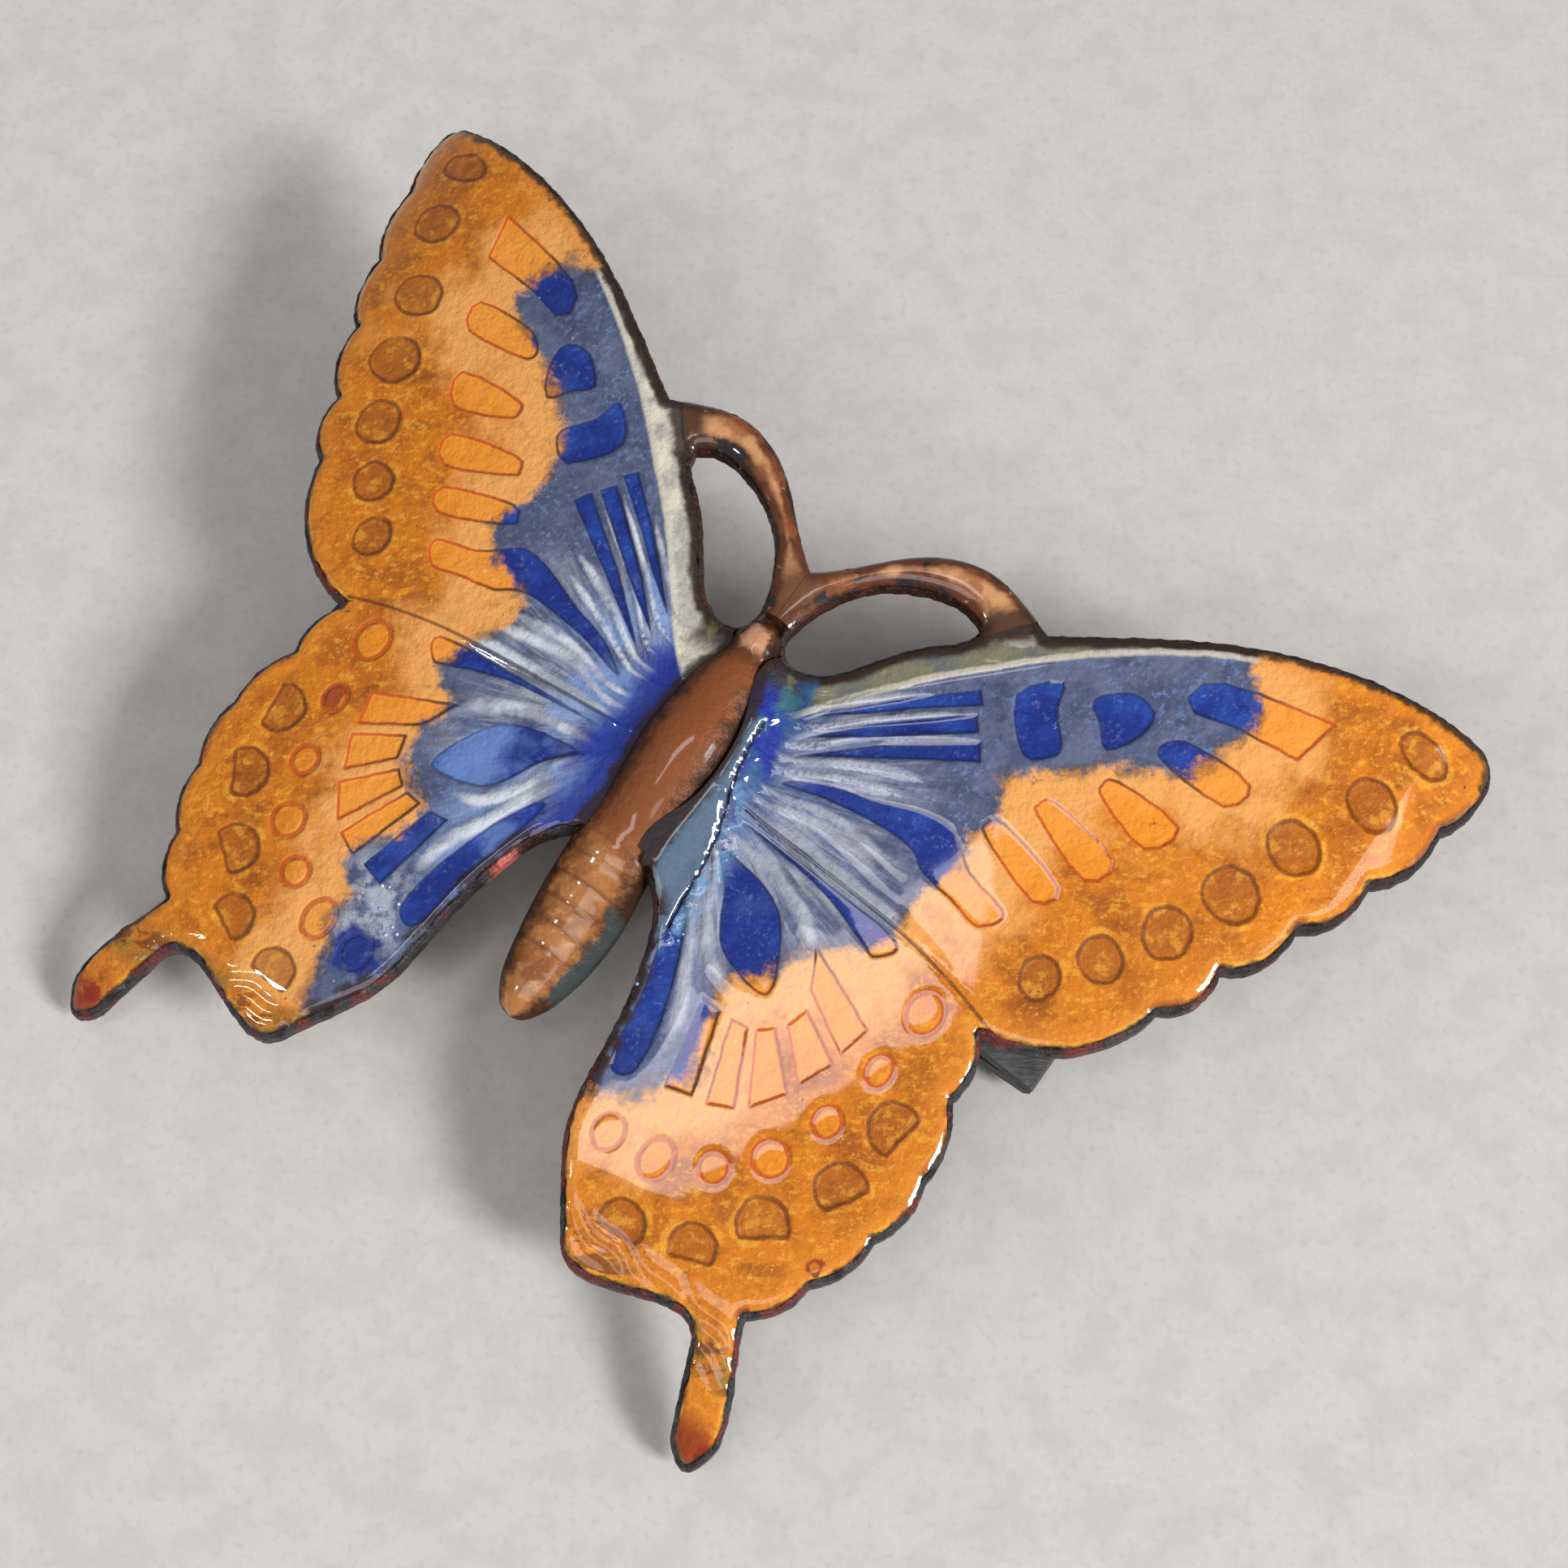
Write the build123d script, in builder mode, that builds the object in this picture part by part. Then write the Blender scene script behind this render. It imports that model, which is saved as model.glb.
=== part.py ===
"""Enamelled butterfly hair pin on a spring barrette clasp.

Millimetres. +X runs across the wings, +Y towards the head, +Z out of the enamelled face. The pin stands on its
closed clasp at z = 0.
"""
import math
import os

from build123d import *

os.makedirs("parts", exist_ok=True)

# Stamped plate
crown_height = 10.0        # face of the plate over the origin
span_radius = 135.0        # bend of the wings across the span
rake = 0.22                # rise of the plate towards the head, per millimetre
tip_bend_start = 22.0      # beyond this the forewings turn down
tip_bend = 0.0035
tail_bend_start = -14.0    # beyond this the tails turn down
tail_bend = 0.03
sheet = 1.0
rim = 0.5                  # bare copper edge round the wing enamel
antenna_rim = 0.3
enamel_depth = 0.35
fore_bulge = 0.55          # height of a scallop on the forewing
hind_bulge = 0.4

# Half outlines in plan; the left wing is the mirror image
wing_notch = (17.8, -0.9)
forewing_lobe = (21.4, 0.7)
forewing_scallops = [(23.5, 4.3), (24.8, 7.3), (26.5, 10.8), (28.0, 14.4), (29.3, 18.4)]
forewing_tip = [(30.0, 20.6), (29.7, 21.9), (28.6, 22.4)]
leading_edge = [(25.2, 21.9), (21.0, 20.8), (16.4, 18.7), (12.4, 16.2), (10.4, 14.9)]
antenna_outside = [(8.6, 15.5), (6.8, 15.8), (5.0, 15.4), (3.2, 14.3), (1.6, 12.8), (0.0, 11.5)]
antenna_inside = [(0.9, 8.5), (1.1, 9.6), (1.7, 10.9), (2.6, 12.1), (3.8, 13.0), (5.2, 13.6), (6.8, 13.8),
                  (7.8, 13.4)]
head_edge = [(7.6, 12.8), (6.4, 11.7), (5.2, 10.4), (4.2, 9.1), (3.2, 8.0), (1.6, 7.6)]
hindwing_scallops = [(18.4, -3.8), (19.4, -7.2), (19.0, -10.4), (17.8, -13.5), (16.3, -16.1)]
tail_outside = [(16.9, -17.4), (17.8, -19.2), (18.3, -20.9)]
tail_tip = (17.4, -22.4)
tail_inside = [(16.2, -21.6), (15.5, -19.9), (14.9, -18.3)]
wing_base = [(14.2, -17.6), (12.4, -17.8), (10.4, -18.5), (8.8, -18.7), (7.6, -17.8)]
inner_margin = [(6.4, -16.1), (5.2, -14.0), (4.7, -11.6), (4.4, -9.0), (3.8, -6.6), (2.6, -4.2), (0.0, -3.6)]

# Where the two colours meet, where the hindwing starts, and the corners of the antenna's own field
colour_edge = [(18.4, 20.6), (19.6, 17.2), (19.2, 14.8), (16.6, 12.2), (13.4, 9.6), (12.9, 6.5), (12.4, 4.0),
               (11.8, 1.5), (11.0, -1.4), (10.0, -4.0), (9.0, -6.4), (8.6, -8.6), (8.2, -11.0), (6.8, -13.0),
               (3.6, -13.8)]
wing_line = [wing_notch, (15.0, 0.2), (12.4, 0.4), (8.0, 0.7), (0.0, 1.2)]
antenna_field = [(0.0, 8.8), (2.0, 8.8), (8.2, 13.1), (9.7, 14.9), (9.7, 19.0), (0.0, 19.0)]

# Body boss
body_wall = 0.9
belly_drop = 0.35          # how far the boss reaches below its own axis
narrowest_core = 0.1       # half width of the boss's inner forms where they run out
# Stations from the head to the tip of the abdomen: y, height of the axis, half width, half height
body_stations = [(8.5, 11.5, 0.5, 0.4), (7.1, 11.6, 1.15, 1.0), (5.9, 11.2, 1.0, 0.95), (4.2, 10.7, 1.65, 1.45),
                 (2.0, 10.2, 2.0, 1.75), (-0.3, 9.4, 1.8, 1.6), (-2.0, 8.7, 1.35, 1.3), (-4.0, 8.15, 1.7, 1.45),
                 (-6.2, 7.0, 1.85, 1.5), (-8.6, 6.2, 1.6, 1.3), (-10.5, 5.8, 1.1, 0.9), (-11.5, 5.6, 0.5, 0.45)]

# Clasp base, with its hinge ears at the left end
clasp_y = 2.5
base_top = 8.6
base_radius = 64.0
base_thickness = 0.8
base_width = 6.4
base_left = -19.2
base_right = 20.6
hinge_inset = 2.0
hinge_x = base_left + hinge_inset
hinge_z = 1.6
ear_thickness = 0.7
pin_radius = 0.5
pin_head_radius = 0.9
pin_head = 0.35
post_radius = 1.6
post_spacing = 13.0

# Swinging arm
running_clearance = 0.05
side_clearance = 0.3
arm_thickness = 0.8
knuckle_radius = 1.15
arm_end_inset = 0.2        # from the base's right end to the arm's
arm_end = base_right - arm_end_inset
arm_end_width = 4.8
arm_end_length = 6.4
arm_corner = 0.4

# Spring catch
prong_length = 2.6
window_bridge = 0.8        # strip of the arm beyond its window
catch_x = arm_end - window_bridge - side_clearance - prong_length / 2
catch_length = 4.0
catch_width = 3.6
catch_bottom = 3.95
prong_thickness = 0.5
prong_spacing = 2.2        # between the middles of the two prongs
prong_gap = 0.1
hook_reach = 0.17
hook_height = 0.35
hook_gap = 0.1
window_clearance = 0.25

# Tension bow and rivets
bow_top = 6.75
bow_radius = 123.0
bow_thickness = 0.3
bow_width = 4.0
bow_rivet_offset = 3.4     # from the hinge to the bow's rivet
bow_rivet_x = hinge_x + bow_rivet_offset
bow_margin = 1.6           # strip left beyond the rivet
bow_start = bow_rivet_x - bow_margin
bow_end_gap = 1.7          # room for the bow to lengthen as it flattens
bow_end = catch_x - catch_length / 2 - bow_end_gap
rivet_radius = 0.6
rivet_head_radius = 1.1
rivet_head = 0.35

# Drawing space
beyond = 40.0              # further out than any edge of the pin
grid_step = 3.0            # spacing of the points that the curved face is drawn through
grid_columns = 23
grid_rows = 18


def face_height(x, y):
    """Height of the plate's face over a point of the plan."""
    past_tip = max(0.0, abs(x) - tip_bend_start)
    past_tail = max(0.0, tail_bend_start - y)
    arch = crown_height - span_radius + math.sqrt(span_radius ** 2 - x ** 2)
    return arch + rake * y - tip_bend * past_tip ** 3 - tail_bend * past_tail ** 2


def layer(top, bottom):
    """The slab between two depths below the plate's face, larger all round than the plate."""
    xs = [grid_step * (i - (grid_columns - 1) / 2) for i in range(grid_columns)]
    ys = [grid_step * (j - grid_rows / 2) for j in range(grid_rows)]
    points = [[Vector(x, y, face_height(x, y) - top) for y in ys] for x in xs]
    upper_face = Face.make_surface_from_array_of_points(points, tol=0.02, min_deg=3, max_deg=5)
    with BuildPart() as slab:
        extrude(upper_face, amount=bottom - top, dir=(0, 0, -1))
    return slab.part


def prism(region):
    """A plan region as an upright block, taller than the whole pin."""
    with BuildPart() as block:
        extrude(region, amount=beyond)
    return block.part


def body_loft(inset):
    """The body boss as one rounded form, drawn in all round by the given wall."""
    head_end = body_stations[0][0] - inset
    tail_end = body_stations[-1][0] + inset
    with BuildPart() as form:
        for y, axis_height, half_width, half_height in body_stations:
            station = (0, min(max(y, tail_end), head_end), axis_height)
            with BuildSketch(Plane(origin=station, x_dir=(1, 0, 0), z_dir=(0, -1, 0))):
                Ellipse(max(half_width - inset, narrowest_core), max(half_height - inset, narrowest_core))
        loft()
    return form.part


def side_plane(y):
    """Drawing plane for side views: along the wings, and up."""
    return Plane(origin=(0, y, 0), x_dir=(1, 0, 0), z_dir=(0, -1, 0))


def arched_band(crest, radius, thickness, start, end):
    """Side view of a strip bent to a radius, with its crest over x = 0."""
    with BuildSketch(mode=Mode.PRIVATE) as band:
        with Locations((0, crest - radius)):
            Circle(radius)
            Circle(radius - thickness, mode=Mode.SUBTRACT)
        with Locations(((start + end) / 2, crest)):
            Rectangle(end - start, radius / 2, mode=Mode.INTERSECT)
    return band.sketch


def grown(region, amount):
    """A plan region with its edge moved out, or in if negative, as plain splines."""
    with BuildSketch() as moved:
        add(region)
        offset(amount=amount)
    return moved.sketch.to_splines()


def save(part, name):
    """Label a finished piece and write it."""
    part.label = name
    export_step(part, f"parts/{name}.step")


# Plan regions of the right half
with BuildSketch() as half_outline:
    with BuildLine():
        ThreePointArc(wing_notch, forewing_lobe, forewing_scallops[0])
        for near, far in zip(forewing_scallops, forewing_scallops[1:]):
            SagittaArc(near, far, -fore_bulge)
        Spline(forewing_scallops[-1], *forewing_tip)
        Spline(forewing_tip[-1], *leading_edge)
        Spline(leading_edge[-1], *antenna_outside)
        Line(antenna_outside[-1], inner_margin[-1])
        Spline(wing_base[-1], *inner_margin)
        Spline(tail_inside[-1], *wing_base)
        Spline(tail_outside[-1], tail_tip, tail_inside[0])
        Spline(*tail_inside)
        Spline(hindwing_scallops[-1], *tail_outside)
        SagittaArc(wing_notch, hindwing_scallops[0], hind_bulge)
        for near, far in zip(hindwing_scallops, hindwing_scallops[1:]):
            SagittaArc(near, far, hind_bulge)
    make_face()

with BuildSketch() as antenna_hole:
    with BuildLine():
        Spline(*antenna_inside)
        Spline(antenna_inside[-1], *head_edge, antenna_inside[0])
    make_face()

with BuildSketch() as blue_region:
    with BuildLine():
        Spline(*colour_edge)
        Polyline(colour_edge[-1], (0, colour_edge[-1][1]), (0, beyond), (colour_edge[0][0], beyond),
                 colour_edge[0])
    make_face()

with BuildSketch() as hindwing_region:
    with BuildLine():
        Spline(*wing_line)
        Polyline(wing_line[-1], (0, -beyond), (beyond, -beyond), (beyond, wing_notch[1]), wing_notch)
    make_face()

with BuildSketch() as antenna_region:
    with BuildLine():
        Polyline(*antenna_field, antenna_field[0])
    make_face()

with BuildSketch() as wing_pocket:
    add(grown(half_outline.sketch, -rim))
    add(grown(antenna_hole.sketch, rim), mode=Mode.SUBTRACT)
    add(antenna_region.sketch, mode=Mode.SUBTRACT)

with BuildSketch() as antenna_pocket:
    add(grown(half_outline.sketch, -antenna_rim))
    add(grown(antenna_hole.sketch, antenna_rim), mode=Mode.SUBTRACT)
    add(antenna_region.sketch, mode=Mode.INTERSECT)

forewing_pocket = wing_pocket.sketch - hindwing_region.sketch
hindwing_pocket = wing_pocket.sketch & hindwing_region.sketch
enamel_fields = {
    "forewing_blue_enamel": forewing_pocket & blue_region.sketch,
    "forewing_orange_enamel": forewing_pocket - blue_region.sketch,
    "hindwing_blue_enamel": hindwing_pocket & blue_region.sketch,
    "hindwing_orange_enamel": hindwing_pocket - blue_region.sketch,
    "antenna_enamel": antenna_pocket.sketch,
}

# Wing and antenna enamel, fused into pockets of the plate
enamel_layer = layer(0, enamel_depth)
body_outside = body_loft(0)
right_enamels = {}
for name, field in enamel_fields.items():
    with BuildPart() as enamel:
        add(enamel_layer)
        add(prism(field), mode=Mode.INTERSECT)
        add(body_outside, mode=Mode.SUBTRACT)
    right_enamels[name] = enamel.part
    save(enamel.part, f"right_{name}")
    save(mirror(enamel.part, about=Plane.YZ), f"left_{name}")

# The side view of everything above the body's belly line
with BuildPart() as above_belly:
    with BuildSketch(Plane.YZ):
        belly = [(y, axis_height - belly_drop) for y, axis_height, _, _ in body_stations]
        front, back = belly[0], belly[-1]
        with BuildLine():
            Spline(*belly)
            Polyline(back, (-beyond, back[1]), (-beyond, beyond), (beyond, beyond), (beyond, front[1]), front)
        make_face()
    extrude(amount=beyond, both=True)

# Stamped copper plate: one sheet with its raised hollow body and both antenna loops
with BuildPart() as copper_plate:
    add(layer(0, sheet))
    add(prism(half_outline.sketch - antenna_hole.sketch), mode=Mode.INTERSECT)
    for enamel_piece in right_enamels.values():
        add(enamel_piece, mode=Mode.SUBTRACT)
    mirror(about=Plane.YZ)
    add(body_loft(enamel_depth) & above_belly.part)
    add(body_loft(body_wall), mode=Mode.SUBTRACT)
save(copper_plate.part, "copper_plate")

with BuildPart() as body_enamel:
    add(body_outside)
    add(body_loft(enamel_depth), mode=Mode.SUBTRACT)
    add(above_belly.part, mode=Mode.INTERSECT)
    with BuildPart(mode=Mode.PRIVATE) as under_face:
        add(layer(0, crown_height))
        add(prism(half_outline.sketch), mode=Mode.INTERSECT)
        mirror(about=Plane.YZ)
    add(under_face.part, mode=Mode.SUBTRACT)
save(body_enamel.part, "body_enamel")

# Clasp base: an arched strip with two ears for the hinge
base_underside = base_top - base_thickness
base_centre = base_top - base_radius
ear_radius = hinge_z
ear_offset = (base_width - ear_thickness) / 2

with BuildPart() as clasp_base:
    with BuildSketch(side_plane(clasp_y)):
        add(arched_band(base_top, base_radius, base_thickness, base_left, base_right))
    extrude(amount=base_width / 2, both=True)
    for ear_y in (clasp_y - ear_offset, clasp_y + ear_offset):
        with BuildSketch(side_plane(ear_y)) as ear:
            with Locations((hinge_x, hinge_z)):
                Circle(ear_radius)
            with Locations((hinge_x, (hinge_z + base_top) / 2)):
                Rectangle(2 * ear_radius, base_top - hinge_z)
            with Locations((0, base_centre)):
                Circle(base_radius - base_thickness / 2, mode=Mode.INTERSECT)
        extrude(ear.sketch, amount=ear_thickness / 2, both=True)
    with Locations(Location((hinge_x, clasp_y, hinge_z), (90, 0, 0))):
        Cylinder(pin_radius, base_width, mode=Mode.SUBTRACT)
    with Locations((bow_rivet_x, clasp_y, base_top), (catch_x, clasp_y, base_top)):
        Cylinder(rivet_radius, base_top, mode=Mode.SUBTRACT)
save(clasp_base.part, "clasp_base")

# Two soldered posts between the base and the back of the plate
with BuildPart() as fixing_posts:
    with Locations((-post_spacing / 2, clasp_y, base_top), (post_spacing / 2, clasp_y, base_top)):
        Cylinder(post_radius, crown_height)
    with Locations(Location((0, clasp_y, base_centre), (90, 0, 0))):
        Cylinder(base_radius, 2 * base_width, mode=Mode.SUBTRACT)
    add(layer(-crown_height, sheet), mode=Mode.SUBTRACT)
save(fixing_posts.part, "fixing_posts")

with BuildPart() as hinge_pin:
    with Locations(Location((hinge_x, clasp_y, hinge_z), (90, 0, 0))):
        Cylinder(pin_radius, base_width)
    for head_y in (clasp_y - (base_width + pin_head) / 2, clasp_y + (base_width + pin_head) / 2):
        with Locations(Location((hinge_x, head_y, hinge_z), (90, 0, 0))):
            Cylinder(pin_head_radius, pin_head)
save(hinge_pin.part, "hinge_pin")

# Arm: a flat strip with a rolled knuckle at the hinge and a window for the catch prongs
arm_width = base_width - 2 * ear_thickness - 2 * side_clearance
arm_underside = hinge_z - arm_thickness / 2
prong_outer = (prong_spacing + prong_thickness) / 2
window_half_width = prong_outer + window_clearance

with BuildPart() as clasp_arm:
    with BuildSketch(Plane.XY.offset(arm_underside)) as arm_plan:
        with Locations(((hinge_x + arm_end) / 2, clasp_y)):
            Rectangle(arm_end - hinge_x, arm_width)
        with Locations((arm_end - arm_end_length / 2, clasp_y)):
            Rectangle(arm_end_length, arm_end_width)
        fillet(arm_plan.vertices().group_by(Axis.X)[-1], arm_corner)
        with Locations((catch_x, clasp_y)):
            Rectangle(prong_length + 2 * side_clearance, 2 * window_half_width, mode=Mode.SUBTRACT)
    extrude(amount=arm_thickness)
    with Locations(Location((hinge_x, clasp_y, hinge_z), (90, 0, 0))):
        Cylinder(knuckle_radius, arm_width)
        Cylinder(pin_radius + running_clearance, arm_width, mode=Mode.SUBTRACT)
save(clasp_arm.part, "clasp_arm")

# Tension bow: a thin spring strip riveted under the base at the hinge end
with BuildPart() as tension_bow:
    with BuildSketch(side_plane(clasp_y)):
        add(arched_band(bow_top, bow_radius, bow_thickness, bow_start, bow_end))
    extrude(amount=bow_width / 2, both=True)
    with Locations((bow_rivet_x, clasp_y, bow_top)):
        Cylinder(rivet_radius, bow_top, mode=Mode.SUBTRACT)
save(tension_bow.part, "tension_bow")


def arch_height(x, crest, radius):
    """Height of an arched strip's upper side at a place along it."""
    return crest - radius + math.sqrt(radius ** 2 - x ** 2)


# Rivets: one holds the bow, one holds the catch
with BuildPart() as bow_rivet:
    rivet_top = arch_height(bow_rivet_x, base_top, base_radius) + rivet_head
    rivet_bottom = arch_height(bow_rivet_x, bow_top, bow_radius) - bow_thickness - rivet_head
    with Locations((bow_rivet_x, clasp_y, (rivet_top + rivet_bottom) / 2)):
        Cylinder(rivet_radius, rivet_top - rivet_bottom)
    for head_z in (rivet_top - rivet_head, rivet_bottom + rivet_head):
        with Locations((bow_rivet_x, clasp_y, head_z)):
            Cylinder(rivet_head_radius, 2 * rivet_head)
    add(clasp_base.part, mode=Mode.SUBTRACT)
    add(tension_bow.part, mode=Mode.SUBTRACT)
save(bow_rivet.part, "bow_rivet")

with BuildPart() as catch_rivet:
    rivet_top = arch_height(catch_x, base_top, base_radius) + rivet_head
    with Locations((catch_x, clasp_y, (rivet_top + catch_bottom) / 2)):
        Cylinder(rivet_radius, rivet_top - catch_bottom)
    with Locations((catch_x, clasp_y, rivet_top - rivet_head)):
        Cylinder(rivet_head_radius, 2 * rivet_head)
    add(clasp_base.part, mode=Mode.SUBTRACT)
save(catch_rivet.part, "catch_rivet")

# Catch block under the right end of the base
with BuildPart() as catch_block:
    with BuildSketch(side_plane(clasp_y)):
        with Locations((catch_x, (catch_bottom + base_top) / 2)):
            Rectangle(catch_length, base_top - catch_bottom)
        with Locations((0, base_centre)):
            Circle(base_radius - base_thickness, mode=Mode.INTERSECT)
    extrude(amount=catch_width / 2, both=True)
    with Locations((catch_x, clasp_y, catch_bottom)):
        Cylinder(rivet_radius, base_top, mode=Mode.SUBTRACT)
save(catch_block.part, "catch_block")

# Two sprung prongs with outward hooks; squeezing them together frees the arm
outer_y = clasp_y + prong_outer
inner_y = outer_y - prong_thickness
prong_top = catch_bottom - prong_gap
hook_top = arm_underside - hook_gap
with BuildPart() as rear_prong:
    with BuildSketch(Plane.YZ.offset(catch_x - prong_length / 2)):
        with BuildLine():
            Polyline((inner_y, 0), (inner_y, prong_top), (outer_y, prong_top), (outer_y, hook_top),
                     (outer_y + hook_reach, hook_top), (outer_y + hook_reach, hook_top - hook_height),
                     (outer_y - hook_reach, 0), (inner_y, 0))
        make_face()
    extrude(amount=prong_length)
save(rear_prong.part, "rear_catch_prong")
save(mirror(rear_prong.part, about=Plane.XZ.offset(-clasp_y)), "front_catch_prong")
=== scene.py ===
import math
import bmesh
import bpy
import numpy as np
from mathutils import Matrix, Vector
from mathutils.geometry import delaunay_2d_cdt
from mathutils.kdtree import KDTree


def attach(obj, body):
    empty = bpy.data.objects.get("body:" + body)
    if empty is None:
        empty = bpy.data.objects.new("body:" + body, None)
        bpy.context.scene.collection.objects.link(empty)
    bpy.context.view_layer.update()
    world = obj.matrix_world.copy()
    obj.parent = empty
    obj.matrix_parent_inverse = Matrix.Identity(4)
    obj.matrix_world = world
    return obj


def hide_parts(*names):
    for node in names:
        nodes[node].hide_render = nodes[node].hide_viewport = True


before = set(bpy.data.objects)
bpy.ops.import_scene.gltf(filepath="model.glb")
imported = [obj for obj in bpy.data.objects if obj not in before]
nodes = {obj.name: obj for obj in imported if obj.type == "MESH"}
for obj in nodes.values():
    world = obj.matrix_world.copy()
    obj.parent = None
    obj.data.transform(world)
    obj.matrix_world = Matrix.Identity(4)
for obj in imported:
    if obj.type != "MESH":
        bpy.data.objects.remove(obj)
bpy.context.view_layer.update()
scene = bpy.context.scene
mm = 0.001
print("frame loaded:", len(nodes), "nodes")

# All plan points and sizes below are in millimetres, for the right half; the left half mirrors them
plateShape = {
    "crown": 10.0, "spanRadius": 135.0, "rake": 0.22,
    "tipBendStart": 22.0, "tipBend": 0.0035, "tailBendStart": -14.0, "tailBend": 0.03,
    "sheet": 1.0, "enamelDepth": 0.35, "rim": 0.5,
}


def faceHeight(points):
    x, y = points[:, 0], points[:, 1]
    s = plateShape
    pastTip = np.maximum(0.0, np.abs(x) - s["tipBendStart"])
    pastTail = np.maximum(0.0, s["tailBendStart"] - y)
    arch = s["crown"] - s["spanRadius"] + np.sqrt(s["spanRadius"] ** 2 - x ** 2)
    return arch + s["rake"] * y - s["tipBend"] * pastTip ** 3 - s["tailBend"] * pastTail ** 2


def smoothStep(low, high, value):
    t = np.clip((value - low) / (high - low), 0.0, 1.0)
    return t * t * (3 - 2 * t)


# 1 in the middle of a line, fading to 0 over about two widths
def bell(distance, width):
    return np.exp(-(distance / width) ** 2)


# Plan geometry
def resample(path, spacing, closed=True):
    ends = np.roll(path, -1, axis=0) if closed else path[1:]
    result = []
    for start, end in zip(path, ends):
        pieces = max(1, int(math.ceil(np.linalg.norm(end - start) / spacing)))
        result += [start + (end - start) * k / pieces for k in range(pieces)]
    if not closed:
        result.append(path[-1])
    return np.array(result)


# A quick way to ask how far any place is from a set of points, or of lines
def pointTree(points):
    tree = KDTree(len(points))
    for i, (x, y) in enumerate(points):
        tree.insert((x, y, 0), i)
    tree.balance()
    return tree


def lineTree(paths, closed=False, spacing=0.03):
    return pointTree(np.concatenate([resample(np.asarray(path, float), spacing, closed) for path in paths]))


def distanceTo(points, tree):
    return np.array([tree.find((x, y, 0))[2] for x, y in points])


def insideLoop(points, loop):
    x, y = points[:, 0], points[:, 1]
    hit = np.zeros(len(points), bool)
    for (x0, y0), (x1, y1) in zip(loop, np.roll(loop, -1, axis=0)):
        if y0 != y1:
            crosses = (y0 > y) != (y1 > y)
            hit ^= crosses & (x < (x1 - x0) * (y - y0) / (y1 - y0) + x0)
    return hit


def insideAny(points, loops):
    hit = np.zeros(len(points), bool)
    for loop in loops:
        loop = np.asarray(loop, float)
        near = np.all((points > loop.min(0)) & (points < loop.max(0)), axis=1)
        if near.any():
            hit[near] |= insideLoop(points[near], loop)
    return hit


def signedDistance(points, loops, tree):
    distance = distanceTo(points, tree)
    return np.where(insideAny(points, loops), -distance, distance)


def smoothPath(points, steps=6, closed=False):
    points = np.asarray(points, float)
    count = len(points)
    result = []
    for i in range(count if closed else count - 1):
        if closed:
            a, b, c, d = (points[(i + k) % count] for k in (-1, 0, 1, 2))
        else:
            a, b, c, d = (points[min(max(i + k, 0), count - 1)] for k in (-1, 0, 1, 2))
        for t in np.arange(steps) / steps:
            result.append(0.5 * (2 * b + (c - a) * t + (2 * a - 5 * b + 4 * c - d) * t ** 2
                                 + (3 * b - a - 3 * c + d) * t ** 3))
    if not closed:
        result.append(points[-1])
    return np.array(result)


# The closed outlines of a node's upper or lower face, in plan
def planLoops(nodeName, side=1):
    mesh = bmesh.new()
    mesh.from_mesh(nodes[nodeName].data)
    bmesh.ops.remove_doubles(mesh, verts=mesh.verts, dist=1e-7)
    mesh.normal_update()
    beside = {}
    for edge in mesh.edges:
        if len(edge.link_faces) == 2:
            high, low = sorted((f.normal.z * side for f in edge.link_faces), reverse=True)
            if high > 0.7 and low < 0.45:
                a, b = edge.verts
                beside.setdefault(a, []).append(b)
                beside.setdefault(b, []).append(a)
    seen, loops = set(), []
    for first in beside:
        if first in seen:
            continue
        loop = [first]
        seen.add(first)
        while True:
            following = [v for v in beside[loop[-1]] if v not in seen]
            if not following:
                break
            loop.append(following[0])
            seen.add(following[0])
        loops.append(np.array([(v.co.x, v.co.y) for v in loop]) / mm)
    mesh.free()
    return loops


def hexGrid(low, high, spacing):
    rows = int((high[1] - low[1]) / (spacing * 0.866)) + 2
    columns = int((high[0] - low[0]) / spacing) + 2
    i, j = np.meshgrid(np.arange(columns), np.arange(rows))
    x = low[0] + (i + 0.5 * (j % 2)) * spacing
    y = low[1] + j * spacing * 0.866
    return np.stack([x.ravel(), y.ravel()], axis=1)


def insideRegion(points, loops):
    hit = insideLoop(points, loops[0])
    for hole in loops[1:]:
        hit &= ~insideLoop(points, hole)
    return hit


# Points and triangles of a plan region: its edge points come first
def fillRegion(loops, spacing, fine=None, featureTree=None, reach=0.25):
    edgePoints = np.concatenate(loops)
    edgeTree = lineTree(loops, True, 0.05)

    def gridAt(step):
        grid = hexGrid(loops[0].min(0), loops[0].max(0), step)
        grid = grid[insideRegion(grid, loops)]
        return grid[distanceTo(grid, edgeTree) > 0.5 * min(step, fine or step)]

    grid = gridAt(spacing)
    if fine:
        near = gridAt(fine)
        near = near[distanceTo(near, featureTree) < reach]
        grid = grid[distanceTo(grid, featureTree) >= reach + 0.3 * spacing]
        grid = np.concatenate([grid, near])
    points = np.concatenate([edgePoints, grid])
    edges, start = [], 0
    for loop in loops:
        count = len(loop)
        edges += [(start + k, start + (k + 1) % count) for k in range(count)]
        start += count
    filled = delaunay_2d_cdt([Vector(p) for p in points], edges, [], 0, 1e-5, True)
    places = np.array([tuple(v) for v in filled[0]])
    triangles = np.array([f for f in filled[2] if len(f) == 3])
    triangles = triangles[insideRegion(places[triangles].mean(axis=1), loops)]
    origin = np.full(len(points), -1)
    for new, sources in enumerate(filled[3]):
        for old in sources:
            origin[old] = new
    return places, triangles, origin[:len(edgePoints)]


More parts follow.
